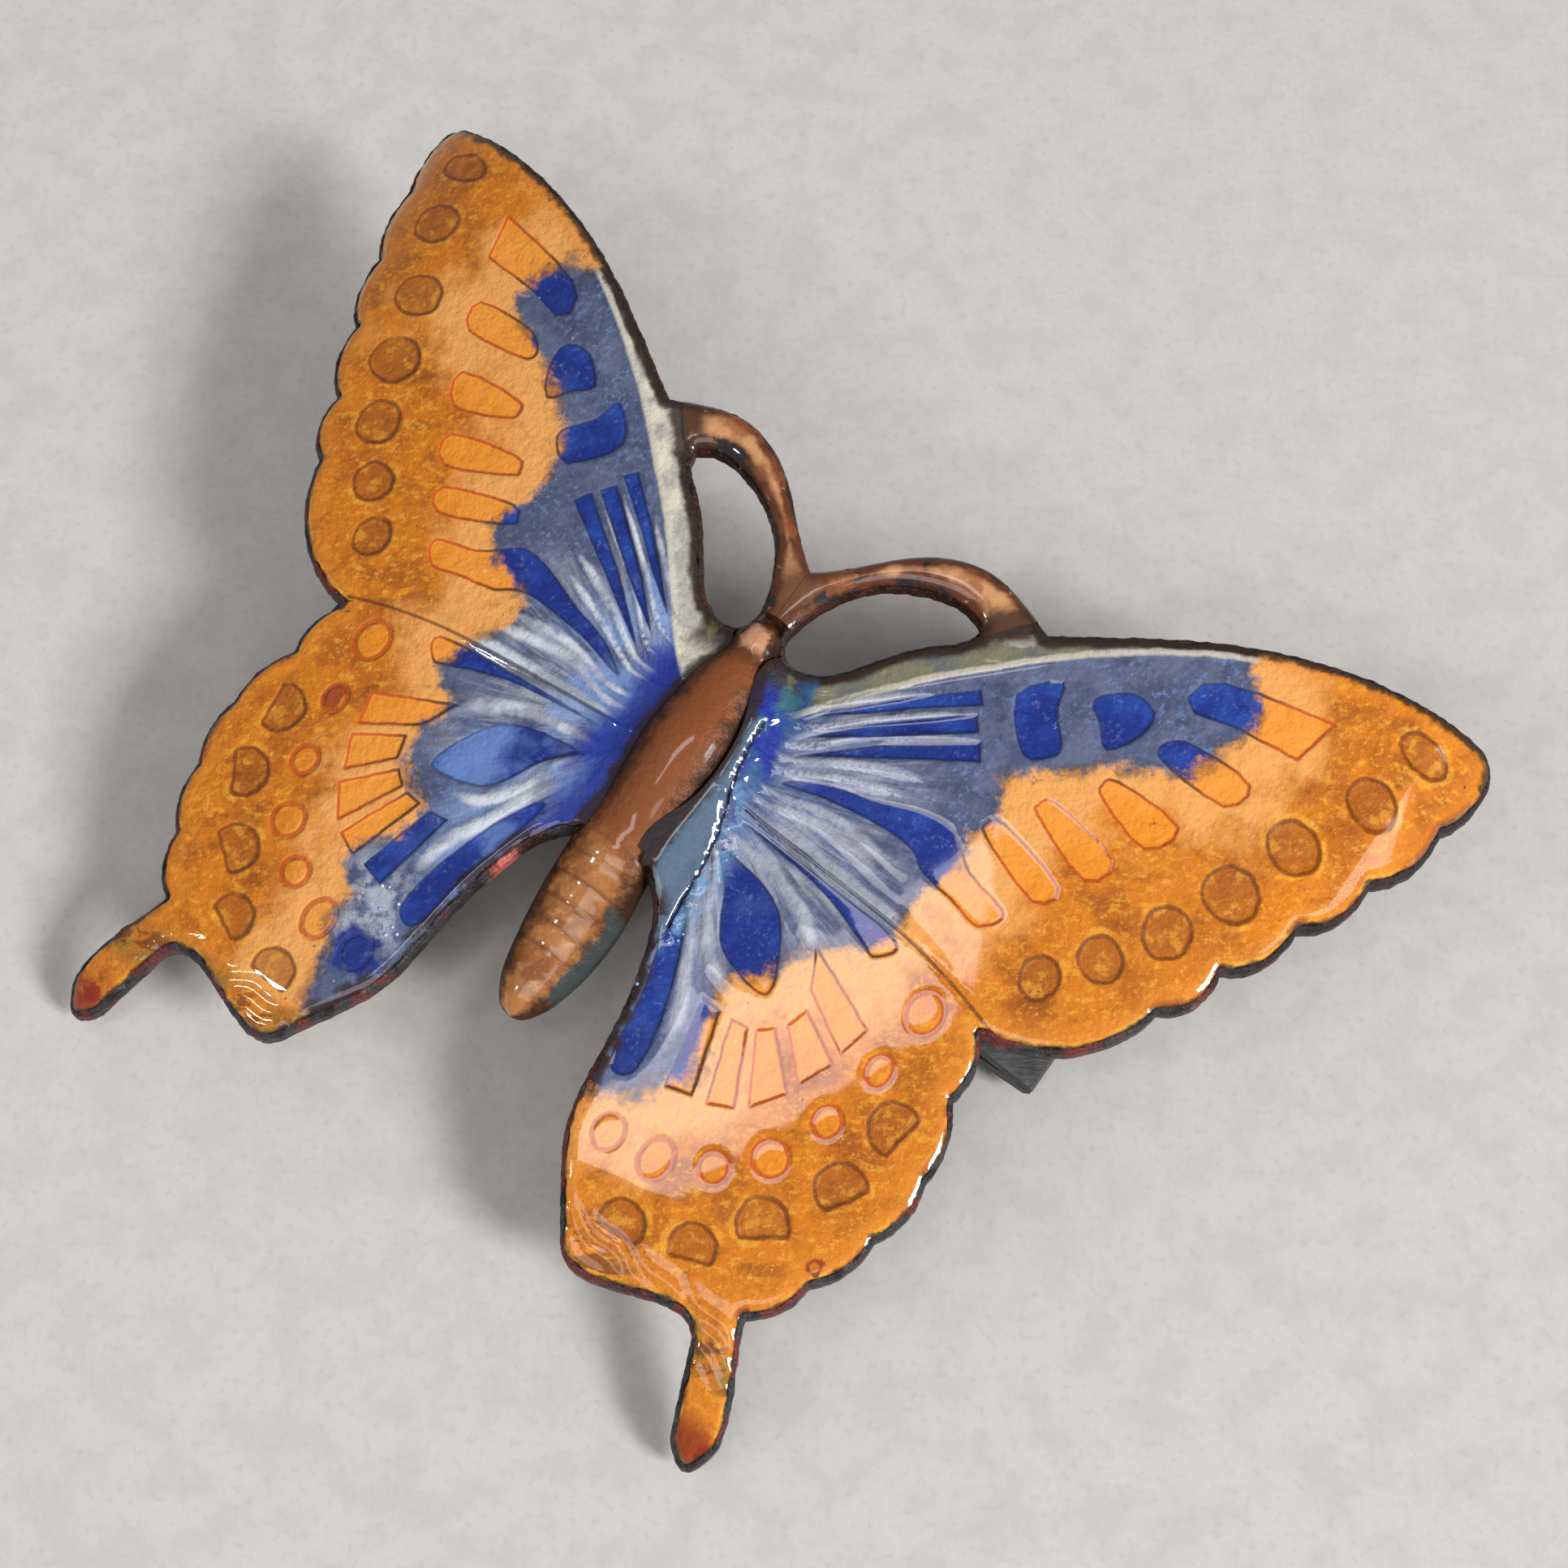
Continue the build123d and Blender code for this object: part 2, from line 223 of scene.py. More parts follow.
def newPiece(name, vertices, faces, smoothAngle=40):
    mesh = bpy.data.meshes.new(name)
    mesh.from_pydata((np.asarray(vertices) * mm).tolist(), [], [tuple(f) for f in faces])
    piece = bpy.data.objects.new(name, mesh)
    scene.collection.objects.link(piece)
    work = bmesh.new()
    work.from_mesh(mesh)
    loose = [v for v in work.verts if not v.link_faces]
    bmesh.ops.delete(work, geom=loose, context="VERTS")
    bmesh.ops.recalc_face_normals(work, faces=work.faces)
    work.to_mesh(mesh)
    work.free()
    mesh.shade_smooth()
    mesh.set_sharp_from_angle(angle=math.radians(smoothAngle))
    return piece


# A closed piece over a plan region, between a finely shaped top and a plain underside
def slabPiece(name, loops, topHeight, bottomHeight, edgeStep, *filling):
    loops = [resample(loop, edgeStep) for loop in loops]
    top, topFaces, topEdge = fillRegion(loops, *filling)
    bottom, bottomFaces, bottomEdge = fillRegion(loops, 1.2)
    offset = len(top)
    vertices = np.concatenate([
        np.column_stack([top, topHeight(top)]),
        np.column_stack([bottom, bottomHeight(bottom)])])
    faces = [tuple(f) for f in topFaces] + [tuple(int(i) + offset for i in f[::-1]) for f in bottomFaces]
    start = 0
    for loop in loops:
        count = len(loop)
        for k in range(count):
            a, b = start + k, start + (k + 1) % count
            if topEdge[a] != topEdge[b]:
                faces.append((topEdge[a], topEdge[b], bottomEdge[b] + offset, bottomEdge[a] + offset))
        start += count
    return newPiece(name, vertices, faces)


def setAttribute(piece, name, values):
    layer = piece.data.attributes.new(name, "FLOAT", "POINT")
    layer.data.foreach_set("value", np.asarray(values, np.float32))


def planPlaces(piece):
    places = np.zeros(len(piece.data.vertices) * 3)
    piece.data.vertices.foreach_get("co", places)
    return places.reshape(-1, 3) / mm


# The stamped pattern of one wing pair
wingPattern = {
    "foreCells": [
        [(17.0, 15.9), (17.6, 15.5), (19.6, 16.1), (22.4, 16.5), (22.9, 18.7), (19.6, 17.9),
         (18.0, 17.4), (17.2, 16.8)],
        [(17.2, 13.4), (17.8, 13.0), (20.9, 13.0), (21.3, 14.4), (18.4, 14.4), (17.5, 14.0)],
        [(16.1, 10.7), (16.5, 10.2), (19.1, 9.5), (19.8, 11.1), (16.6, 11.2)],
        [(14.3, 8.4), (14.6, 8.0), (17.7, 6.9), (18.3, 8.3), (14.9, 8.9)],
        [(12.9, 6.5), (13.2, 6.0), (16.4, 4.9), (17.0, 6.0), (13.6, 6.9)],
        [(13.7, 13.5), (14.9, 14.7), (16.2, 14.6), (16.3, 13.4), (15.4, 12.0), (14.5, 12.8)],
        [(10.8, 11.8), (12.2, 13.4), (12.7, 12.2), (13.7, 11.1), (13.6, 10.4), (12.5, 9.8)],
    ],
    "hindCells": [
        [(9.9, -2.0), (13.7, -3.6), (13.35, -5.05), (10.75, -3.6)],
        [(11.1, -4.4), (13.3, -5.6), (12.6, -7.1), (10.8, -5.4)],
        [(10.4, -5.8), (12.4, -7.7), (11.4, -9.1), (9.8, -6.3)],
        [(9.4, -6.45), (10.9, -9.5), (9.8, -10.0), (8.65, -6.55)],
        [(8.0, -6.55), (9.1, -10.1), (7.9, -10.4), (7.05, -6.45)],
    ],
    "ribs": [
        [(4.2, 6.3), (5.7, 7.8), (7.4, 9.4), (9.4, 11.1), (9.9, 10.6), (7.6, 8.9), (5.9, 7.5)],
        [(4.3, 5.2), (6.2, 7.1), (9.9, 10.1), (10.4, 9.5), (6.6, 6.7)],
        [(4.3, 4.2), (7.2, 6.7), (10.7, 9.2), (11.2, 8.5), (8.3, 6.7)],
    ],
    "leaves": [
        [(4.5, 2.9), (6.0, 3.9), (8.1, 4.5), (10.2, 5.3), (11.6, 5.5), (12.3, 5.2), (13.6, 4.3),
         (15.7, 3.75), (15.1, 2.7), (13.5, 2.95), (11.8, 3.2), (10.9, 3.7), (9.6, 3.8), (7.0, 3.5)],
        [(4.0, -0.9), (5.2, -0.9), (6.7, -1.2), (7.9, -1.9), (8.9, -3.4), (9.3, -4.8), (8.2, -4.9),
         (6.6, -4.4), (5.8, -3.5), (5.1, -2.2)],
        [(3.7, -3.6), (4.3, -3.9), (5.2, -5.6), (6.2, -8.4), (6.5, -10.6), (5.8, -11.2), (5.2, -10.6),
         (4.8, -8.0), (4.1, -5.6)],
        [(4.0, 0.6), (8.9, 0.45), (12.6, 0.1), (12.2, -0.9), (11.4, -0.75), (8.6, 0.1), (5.5, 0.45)],
    ],
    # centre x and y, half width, half height
    "marginSpots": [
        (26.8, 20.1, 1.2, 0.72), (26.1, 16.95, 1.15, 1.0), (24.35, 13.35, 1.2, 1.05),
        (23.25, 10.1, 1.25, 1.15), (21.9, 7.15, 1.05, 1.1), (20.2, 4.6, 1.0, 0.95),
        (18.5, 2.4, 0.85, 0.95)],
    # the same, with the flat side towards the margin
    "flatSpots": [(17.0, -6.3, 1.1, 1.1), (16.6, -9.6, 1.15, 1.1), (14.7, -12.65, 1.15, 1.1),
                  (12.8, -15.15, 1.05, 1.0), (9.7, -16.0, 1.05, 0.9)],
    "rings": [(15.3, -1.6, 0.8, 0.95), (15.1, -4.7, 0.55, 0.7), (14.5, -7.7, 0.62, 0.68),
              (13.4, -10.3, 0.78, 0.78), (11.6, -12.0, 0.66, 0.66), (9.35, -13.1, 0.72, 0.92),
              (7.0, -13.35, 0.68, 0.8)],
    "crease": [(2.6, 1.15), (5.2, 1.0), (8.9, 0.8), (12.6, 0.55), (15.4, 0.1), (17.7, -0.5)],
    "leadLine": [(2.0, 4.2), (3.2, 5.3), (4.7, 7.2), (6.2, 8.9), (7.6, 10.4), (9.3, 12.0), (11.0, 13.6),
                 (12.8, 15.1), (15.4, 17.0), (18.1, 18.6), (22.1, 20.2), (25.0, 20.9)],
    "crack": [(2.45, 4.4), (2.5, 3.3), (2.8, 1.7), (3.15, 0.6), (3.5, -0.5), (3.75, -2.0), (3.9, -3.8),
              (4.05, -4.9)],
    # path from the body outwards, half width, share of the length over which it widens
    "ridges": [
        ([(2.6, 6.3), (4.2, 6.75), (5.8, 8.2), (7.8, 10.0)], 0.22, 0.5),
        ([(2.6, 5.2), (4.3, 5.75), (6.2, 7.35), (10.1, 10.4)], 0.2, 0.5),
        ([(2.6, 4.5), (4.3, 4.75), (6.6, 6.85), (10.6, 9.45)], 0.2, 0.5),
        ([(2.5, 3.9), (4.3, 4.0), (7.2, 5.6), (10.4, 6.9)], 0.26, 0.5),
        ([(2.5, 3.4), (4.3, 3.45), (6.6, 4.5), (10.0, 5.85)], 0.2, 0.5),
        ([(2.7, 2.6), (4.6, 2.35), (7.4, 2.95), (11.4, 2.6)], 0.3, 0.6),
        ([(2.7, 2.0), (4.4, 1.75), (6.5, 2.3), (9.0, 2.2), (12.0, 1.5)], 0.34, 0.6),
        ([(2.8, 1.3), (5.2, 1.2), (8.9, 1.05), (12.6, 0.85), (15.2, 0.4)], 0.36, 0.3),
        ([(2.9, -0.1), (4.4, -0.25), (7.0, -0.6), (9.2, -1.6), (10.4, -3.1)], 0.42, 0.5),
        ([(3.0, -0.6), (4.3, -1.6), (5.0, -3.4), (6.4, -5.0), (8.6, -5.6)], 0.34, 0.5),
        ([(3.3, -1.8), (4.3, -3.2), (5.5, -5.6), (6.6, -7.6), (7.0, -10.6)], 0.42, 0.5),
    ],
}
# Where the blue stops, from the leading edge to the inner margin
blueEdges = {
    "right": [(18.6, 21.0), (18.8, 18.7), (19.6, 17.3), (20.0, 16.6), (19.5, 15.1), (19.2, 13.8),
              (18.1, 12.8), (16.3, 11.8), (14.0, 10.2), (12.4, 8.7), (12.9, 7.1), (12.8, 5.7),
              (12.9, 4.6), (12.9, 3.3), (12.3, 2.1), (12.3, 0.3), (11.5, -1.0), (9.7, -2.1), (9.2, -3.8),
              (7.5, -5.0), (7.5, -6.2), (8.5, -9.4), (7.5, -11.0), (5.9, -12.1), (4.0, -12.4)],
    "left": [(17.0, 21.0), (17.1, 18.8), (18.7, 18.0), (19.9, 16.4), (19.6, 15.3), (17.2, 13.8),
             (15.1, 12.6), (13.6, 10.6), (13.1, 8.1), (13.5, 6.1), (12.1, 4.2), (10.4, 3.1), (10.5, 1.6),
             (11.5, -0.6), (11.4, -1.5), (10.5, -2.1), (10.9, -3.6), (10.4, -5.4), (8.5, -6.7),
             (8.9, -8.4), (9.8, -10.3), (8.7, -11.6), (8.6, -13.8), (7.7, -16.0), (7.4, -19.0)],
}

bodyShape = {
    # y, height of the axis, half width, half height
    "stations": [(8.4, 11.4, 0.5, 0.45), (7.9, 11.55, 0.9, 0.8), (7.2, 11.5, 1.12, 0.95),
                 (6.6, 11.3, 1.14, 0.96), (6.0, 11.15, 1.34, 1.08), (5.2, 10.95, 1.66, 1.28),
                 (4.0, 10.65, 1.85, 1.45), (2.0, 10.2, 2.08, 1.75), (-0.3, 9.5, 2.0, 1.68),
                 (-2.0, 8.98, 1.9, 1.52), (-3.0, 8.7, 1.96, 1.52), (-4.2, 8.25, 2.06, 1.54),
                 (-6.2, 7.05, 2.12, 1.52), (-8.2, 6.3, 1.9, 1.38), (-9.9, 5.95, 1.5, 1.12),
                 (-10.8, 5.8, 1.06, 0.86), (-11.3, 5.7, 0.64, 0.55), (-11.48, 5.65, 0.2, 0.2)],
    "around": 96, "along": 240,
    "segmentStart": -3.4, "segmentEnd": -9.4, "segmentPitch": 1.02, "segmentDepth": 0.025,
}


def bodyAt(y):
    path = smoothPath(np.array(bodyShape["stations"])[::-1], 12)
    order = np.argsort(path[:, 0])
    return [np.interp(y, path[order, 0], path[order, k]) for k in (1, 2, 3)]


def ovalLoop(cx, cy, rx, ry, flatTowards=None):
    angles = np.arange(40) / 40 * 2 * math.pi
    loop = np.column_stack([cx + rx * np.cos(angles), cy + ry * np.sin(angles)])
    if flatTowards:
        outward = np.array((cx - flatTowards[0], cy - flatTowards[1]))
        outward = outward / np.linalg.norm(outward)
        past = np.maximum(0, (loop - (cx, cy)) @ outward - 0.45 * rx)
        loop = loop - past[:, None] * outward
    return loop


# Smooth lines whose strength swells and fades along their length
def taperedRidges(points, ridges):
    strength = np.zeros(len(points))
    for path, width, taper in ridges:
        line = smoothPath(path, 8)
        dense = resample(line, 0.05, False)
        tree = pointTree(dense)
        near = np.all((points > line.min(0) - 3 * width) & (points < line.max(0) + 3 * width), axis=1)
        for k in np.flatnonzero(near):
            _, i, distance = tree.find((points[k, 0], points[k, 1], 0))
            t = i / (len(dense) - 1)
            wide = width * (0.35 + 0.65 * min(1.0, t / taper)) * (1.0 if t < 0.75 else 1 - 1.6 * (t - 0.75))
            fade = min(1.0, t / 0.12) * min(1.0, (1 - t) / 0.25)
            strength[k] = max(strength[k], fade * math.exp(-(distance / wide) ** 2))
    return strength


patternLines = {
    "cells": [smoothPath(c, 3, True) if len(c) < 7 else np.array(c) for c in wingPattern["foreCells"]]
             + [np.array(c, float) for c in wingPattern["hindCells"]]
             + [smoothPath(leaf, 5, True) for leaf in wingPattern["leaves"]]
             + [np.array(rib, float) for rib in wingPattern["ribs"]],
    "spots": [ovalLoop(*spot) for spot in wingPattern["marginSpots"]]
             + [ovalLoop(*spot, flatTowards=(9.0, -5.0)) for spot in wingPattern["flatSpots"]],
    "rings": [ovalLoop(*ring) for ring in wingPattern["rings"]],
}
patternTrees = {name: lineTree(lines, True) for name, lines in patternLines.items()}
creaseTree = lineTree([smoothPath(wingPattern["crease"], 6)])
leadPath = smoothPath(wingPattern["leadLine"], 6)
leadTree = lineTree([leadPath])
crackPath = smoothPath(wingPattern["crack"], 5)
crackTree = lineTree([crackPath])
blueLoops = {}
for side in ("right", "left"):
    blueLoops[side] = np.concatenate([smoothPath(blueEdges[side], 4), [(-2, -19), (-2, 21)]])
blueTrees = {side: lineTree([smoothPath(blueEdges[side], 4)]) for side in blueLoops}
featureLines = [np.vstack([line, line[:1]]) for lines in patternLines.values() for line in lines]
featureLines += [smoothPath(wingPattern["crease"], 6), leadPath]
mirroredFeatures = {side: lineTree([line * (sign, 1) for line in featureLines], False, 0.06)
                    for side, sign in (("right", 1), ("left", -1))}


# Everything that a wing's enamel is shaped and coloured by, at places of its plan
def readPattern(places, side):
    p = np.column_stack([np.abs(places[:, 0]), places[:, 1]])
    read = {name[:-1] + "Edge": np.minimum(signedDistance(p, patternLines[name], patternTrees[name]), 3.0)
            for name in patternLines}
    distance = np.minimum(distanceTo(p, blueTrees[side]), 6.0)
    read["blueEdge"] = np.where(insideLoop(p, blueLoops[side]), -distance, distance)
    read["creaseEdge"] = np.minimum(distanceTo(p, creaseTree), 3.0)
    lead = distanceTo(p, leadTree)
    read["hemEdge"] = np.where(p[:, 1] > np.interp(p[:, 0], leadPath[:, 0], leadPath[:, 1]), lead, -lead)
    read["ridge"] = taperedRidges(p, wingPattern["ridges"])
    halfWidth = bodyAt(np.clip(p[:, 1], -11.4, 8.4))[1]
    read["bodyEdge"] = p[:, 0] - halfWidth + np.maximum(0, p[:, 1] - 7.5)
    crack = np.minimum(distanceTo(p, crackTree), 3.0)
    crackX = np.interp(p[:, 1], crackPath[::-1, 1], crackPath[::-1, 0])
    read["crackEdge"] = np.where(p[:, 0] < crackX, -crack, crack) if side == "right" else np.full(len(p), 3.0)
    read["rightSide"] = np.full(len(p), 1.0 if side == "right" else 0.0)
    read["rimEdge"] = distanceTo(places[:, :2], rimTree)
    read["barEdge"] = np.minimum(distanceTo(p, barTree), 4.0)
    root = p - (2.0, 1.6)
    read["fan"] = np.arctan2(root[:, 1], root[:, 0] + 0.8)
    read["reach"] = np.hypot(root[:, 0], root[:, 1])
    return read


# Heights and depths are of the relief at its strongest
enamelShape = {
    "spacing": 0.2, "fine": 0.085, "edgeStep": 0.12, "rimGap": 0.27, "rimWaver": 0.1,
    "cellDepth": 0.015, "spotDepth": 0.008, "ringDepth": 0.008, "creaseHeight": 0.09, "creaseGroove": 0.03,
    "ridgeHeight": 0.035, "leadHeight": 0.04, "edgeRoll": 0.24, "edgeWidth": 0.55,
    "crackDepth": 0.16, "crackLumps": 0.08, "tailWaves": 0.045,
    "rootRise": (0.75, 0.22), "rootWidth": (1.15, 0.8),  # on the right side, on the left side
}


def enamelRelief(read, places):
    s = enamelShape
    x, y = np.abs(places[:, 0]), places[:, 1]
    height = -s["cellDepth"] * smoothStep(0.18, -0.18, read["cellEdge"])
    height -= s["spotDepth"] * smoothStep(0.2, -0.2, read["spotEdge"])
    height -= s["ringDepth"] * bell(read["ringEdge"], 0.18)
    inner = smoothStep(17.5, 9.0, x)
    height += s["creaseHeight"] * inner * bell(read["creaseEdge"], 0.26)
    height -= s["creaseGroove"] * (1 - 0.5 * inner) * bell(read["creaseEdge"] - 0.3 * inner, 0.12)
    height += s["ridgeHeight"] * read["ridge"]
    height += s["leadHeight"] * bell(read["hemEdge"] - 0.12, 0.18) * smoothStep(25, 15, x)
    rim = np.maximum(read["rimEdge"] - 0.12, 0)
    height -= s["edgeRoll"] * (1 - np.clip(rim / s["edgeWidth"], 0, 1)) ** 2
    rise, width = (np.where(read["rightSide"] > 0.5, *s[name]) for name in ("rootRise", "rootWidth"))
    rise = rise * bell(np.maximum(read["bodyEdge"], 0), width)
    height += rise * smoothStep(8.0, 6.5, y) * smoothStep(-7.0, -4.5, y)
    height -= s["crackDepth"] * bell(read["crackEdge"], 0.07)
    height += s["crackLumps"] * lumps(places, 0.35, 1.0) * bell(read["crackEdge"] - 0.35, 0.3)
    onTail = smoothStep(-16.2, -16.9, y) * smoothStep(-19.6, -18.6, y)
    height += s["tailWaves"] * np.sin((y + 0.25 * x) * 9.0 + 1.5 * np.sin(x * 2.3)) * onTail
    return height


def lumps(points, size, seed=0.0):
    x, y = points[:, 0] / size + seed, points[:, 1] / size - seed
    return (np.sin(2.1 * x + 1.3 * np.sin(1.7 * y)) + np.sin(1.9 * y + 1.7 * np.sin(2.3 * x + seed))
            + 0.6 * np.sin(4.7 * x - 3.1 * y + seed)) / 2.6


wingFields = ("forewing_blue", "forewing_orange", "hindwing_blue", "hindwing_orange")
outlines = {field: planLoops(f"right_{field}_enamel")[0] for field in wingFields}
antennaOutline = planLoops("right_antenna_enamel")[0]
barTree = lineTree([antennaOutline], True)
wingTree = lineTree([outlines["forewing_blue"]], True)


# The plate's own outline, closed across the waist, and its two antenna openings
def plateOutline():
    plateLoops = planLoops("copper_plate", -1)
    longest = max(plateLoops, key=len)
    keep = ~((np.abs(longest[:, 0]) < 1.6) & (longest[:, 1] < 3) & (longest[:, 1] > -13))
    start = int(np.argmax(~keep))
    turned = np.roll(longest, -start, axis=0)[np.roll(keep, -start)]
    holes = [loop for loop in plateLoops if 40 < len(loop) < 90 and loop[:, 1].min() > 7]
    return [turned] + holes


copperLoops = plateOutline()
rimTree = lineTree(copperLoops, True, 0.04)
print("outlines read:", [len(loop) for loop in copperLoops])


# Enamel flows out over the rim to a wavering line close to the plate's edge
def flowOut(loop, rimWidth, gap, waver):
    dense = resample(loop, 0.1)
    result = []
    for (x, y), wave in zip(dense, lumps(dense, 0.7, 2.0)):
        nearest, _, distance = rimTree.find((x, y, 0))
        if 0.2 * rimWidth < distance < rimWidth + 0.12:
            share = (gap + waver * wave) / distance
            x, y = nearest.x + (x - nearest.x) * share, nearest.y + (y - nearest.y) * share
        result.append((x, y))
    result = np.array(result)
    step = np.linalg.norm(result - np.roll(result, 1, axis=0), axis=1)
    return result[step > 0.03]


def enamelBottom(points):
    return faceHeight(points) - plateShape["enamelDepth"] - 0.1


# Enamel fields
wingPieces = []
for side, sign in (("right", 1), ("left", -1)):
    for field in wingFields:
        def enamelTop(points, side=side):
            return faceHeight(points) + enamelRelief(readPattern(points, side), points)

        s = enamelShape
        loop = flowOut(outlines[field] * (sign, 1), plateShape["rim"], s["rimGap"], s["rimWaver"])
        piece = slabPiece(f"{side}_{field}_glass", [loop], enamelTop, enamelBottom, s["edgeStep"],
                          s["spacing"], s["fine"], mirroredFeatures[side])
        for name, values in readPattern(planPlaces(piece), side).items():
            setAttribute(piece, name, values)
        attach(piece, "pin")
        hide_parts(f"{side}_{field}_enamel")
        wingPieces.append(piece)
print("wing enamel made:", sum(len(p.data.polygons) for p in wingPieces), "faces")

# Antenna enamel, drawn round the bars
antennaShape = {"spacing": 0.11, "edgeStep": 0.1, "roundness": 0.62, "halfBar": 1.05,
                "rise": 0.12, "depth": 0.72}


def antennaTop(points):
    s = antennaShape
    edge = np.clip(distanceTo(points, rimTree) / s["halfBar"], 0, 1)
    return faceHeight(points) + s["rise"] - s["roundness"] * (1 - np.sqrt(1 - (1 - edge) ** 2))


def antennaBottom(points):
    return faceHeight(points) - antennaShape["depth"]


antennaPieces = []
for side, sign in (("right", 1), ("left", -1)):
    loop = antennaOutline.copy()
    loop[np.abs(loop[:, 0]) < 0.45, 0] = 0.01
    loop = flowOut(loop * (sign, 1), 0.3, 0.07, 0.03)
    piece = slabPiece(f"{side}_antenna_glass", [loop], antennaTop, antennaBottom, antennaShape["edgeStep"],
                      antennaShape["spacing"])
    places = planPlaces(piece)[:, :2]
    setAttribute(piece, "rimEdge", distanceTo(places, rimTree))
    setAttribute(piece, "wingEdge", np.minimum(distanceTo(places * (sign, 1), wingTree), 4.0))
    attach(piece, "pin")
    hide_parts(f"{side}_antenna_enamel")
    antennaPieces.append(piece)

# Copper plate with a nibbled, fired edge
copperShape = {"edgeStep": 0.15, "spacing": 0.9, "fine": 0.15, "edgeRound": 0.3, "edgeDrop": 0.22,
               "rimDrop": 0.25, "bedDrop": 0.4, "lump": 0.05, "nibble": 0.05}


# At each point of a loop, the direction across it, into the metal
def intoMetal(loop, inward):
    along = np.roll(loop, -1, axis=0) - np.roll(loop, 1, axis=0)
    across = np.column_stack([-along[:, 1], along[:, 0]])
    across = across / np.maximum(np.linalg.norm(along, axis=1), 1e-6)[:, None]
    area = np.sum(loop[:, 0] * np.roll(loop[:, 1], -1) - np.roll(loop[:, 0], -1) * loop[:, 1])
    return across * inward * np.sign(area)


def nibbledLoop(loop, inward):
    dense = resample(loop, 0.12)
    amount = copperShape["nibble"] * (1 + 0.6 * lumps(dense, 0.45, 5.0) + 0.4 * lumps(dense, 0.17, 1.0))
    return dense + intoMetal(dense, inward) * np.maximum(amount, 0)[:, None]


def copperTop(points):
    s = copperShape
    edge = distanceTo(points, rimTree)
    height = faceHeight(points) - s["rimDrop"]
    height -= s["edgeDrop"] * (1 - np.clip(edge / s["edgeRound"], 0, 1)) ** 2
    height += s["lump"] * lumps(points, 0.3, 3.0) * smoothStep(0.5, 0.25, edge)
    return height - s["bedDrop"] * smoothStep(0.32, 0.42, edge)


def copperBottom(points):
    return faceHeight(points) - plateShape["sheet"]


nibbled = [nibbledLoop(copperLoops[0], 1)] + [nibbledLoop(loop, -1) for loop in copperLoops[1:]]
copperPlate = slabPiece("stamped_copper", nibbled, copperTop, copperBottom, copperShape["edgeStep"],
                        copperShape["spacing"], copperShape["fine"], rimTree, 0.6)
antennaTree = lineTree([antennaOutline, antennaOutline * (-1, 1)], True, 0.1)
barZone = smoothStep(0.6, 0.2, distanceTo(planPlaces(copperPlate)[:, :2], antennaTree))
setAttribute(copperPlate, "barZone", barZone)
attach(copperPlate, "pin")
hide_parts("copper_plate")
print("copper plate made:", len(copperPlate.data.polygons), "faces")


# Body: head, thorax, waist and ringed abdomen as one closed form
def buildBody():
    s = bodyShape
    head, tail = s["stations"][0][0], s["stations"][-1][0]
    ys = tail + (head - tail) * (0.5 - 0.5 * np.cos(np.linspace(0, math.pi, s["along"])))
    axis, halfWidth, halfHeight = bodyAt(ys)
    angles = np.arange(s["around"]) / s["around"] * 2 * math.pi
    phase = (s["segmentStart"] - ys) / s["segmentPitch"]
    ringed = smoothStep(s["segmentStart"] + 0.3, s["segmentStart"] - 0.3, ys) * smoothStep(
        s["segmentEnd"] - 0.3, s["segmentEnd"] + 0.3, ys)
    saw = np.abs(phase - np.round(phase)) * s["segmentPitch"]
    groove = s["segmentDepth"] * ringed * bell(saw, 0.1)
    cut = groove[:, None] * np.maximum(np.sin(angles), 0) ** 0.5
    x = (halfWidth[:, None] - cut) * np.cos(angles)
    z = axis[:, None] + (halfHeight[:, None] - cut) * np.sin(angles)
    every = np.ones_like(x)
    values = {"flank": every * np.cos(angles), "along": every * ys[:, None],
              "ring": every * (ringed * bell(saw, 0.09))[:, None]}
    count = s["around"]
    faces = [tuple(range(count)), tuple(range((len(ys) - 1) * count, len(ys) * count))]
    for start in range(0, (len(ys) - 1) * count, count):
        for k in range(count):
            a, b = start + k, start + (k + 1) % count
            faces.append((a, b, b + count, a + count))
    vertices = np.column_stack([x.ravel(), values["along"].ravel(), z.ravel()])
    piece = newPiece("body_glass", vertices, faces, 60)
    for name, each in values.items():
        setAttribute(piece, name, each.ravel())
    return piece


bodyPiece = buildBody()
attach(bodyPiece, "pin")
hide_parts("body_enamel")
print("body made")


# Materials: every helper adds to the tree on the bench, and colours go by their names
bench = {"tree": None, "colours": {}}


def srgb(colour):
    return tuple(c / 255 / 12.92 if c <= 10 else ((c / 255 + 0.055) / 1.055) ** 2.4 for c in colour) + (1.0,)


def addNode(kind, inputs=None, **settings):
    tree = bench["tree"]
    node = tree.nodes.new(kind)
    for name, value in settings.items():
        setattr(node, name, value)
    for name, value in (inputs or {}).items():
        if isinstance(value, bpy.types.NodeSocket):
            tree.links.new(value, node.inputs[name])
        else:
            node.inputs[name].default_value = value
    return node


def calc(operation, first, second=0.0, third=0.0):
    return addNode("ShaderNodeMath", {0: first, 1: second, 2: third}, operation=operation).outputs[0]


def scaled(value, factor, start=0.0):
    return calc("MULTIPLY_ADD", value, factor, start)


def both(first, *others):
    for other in others:
        first = calc("MULTIPLY", first, other)
    return first


def layer(base, mask, colour, amount=1.0):
    base, colour = (srgb(bench["colours"][c]) if isinstance(c, str) else c for c in (base, colour))
    factor = calc("MULTIPLY", mask, amount) if amount != 1.0 else mask
    return addNode("ShaderNodeMix", {0: factor, 6: base, 7: colour}, data_type="RGBA").outputs[2]


# Coats of colour, one over another: where, which, how strongly
def paint(base, *coats):
    for coat in coats:
        base = layer(base, *coat)
    return base


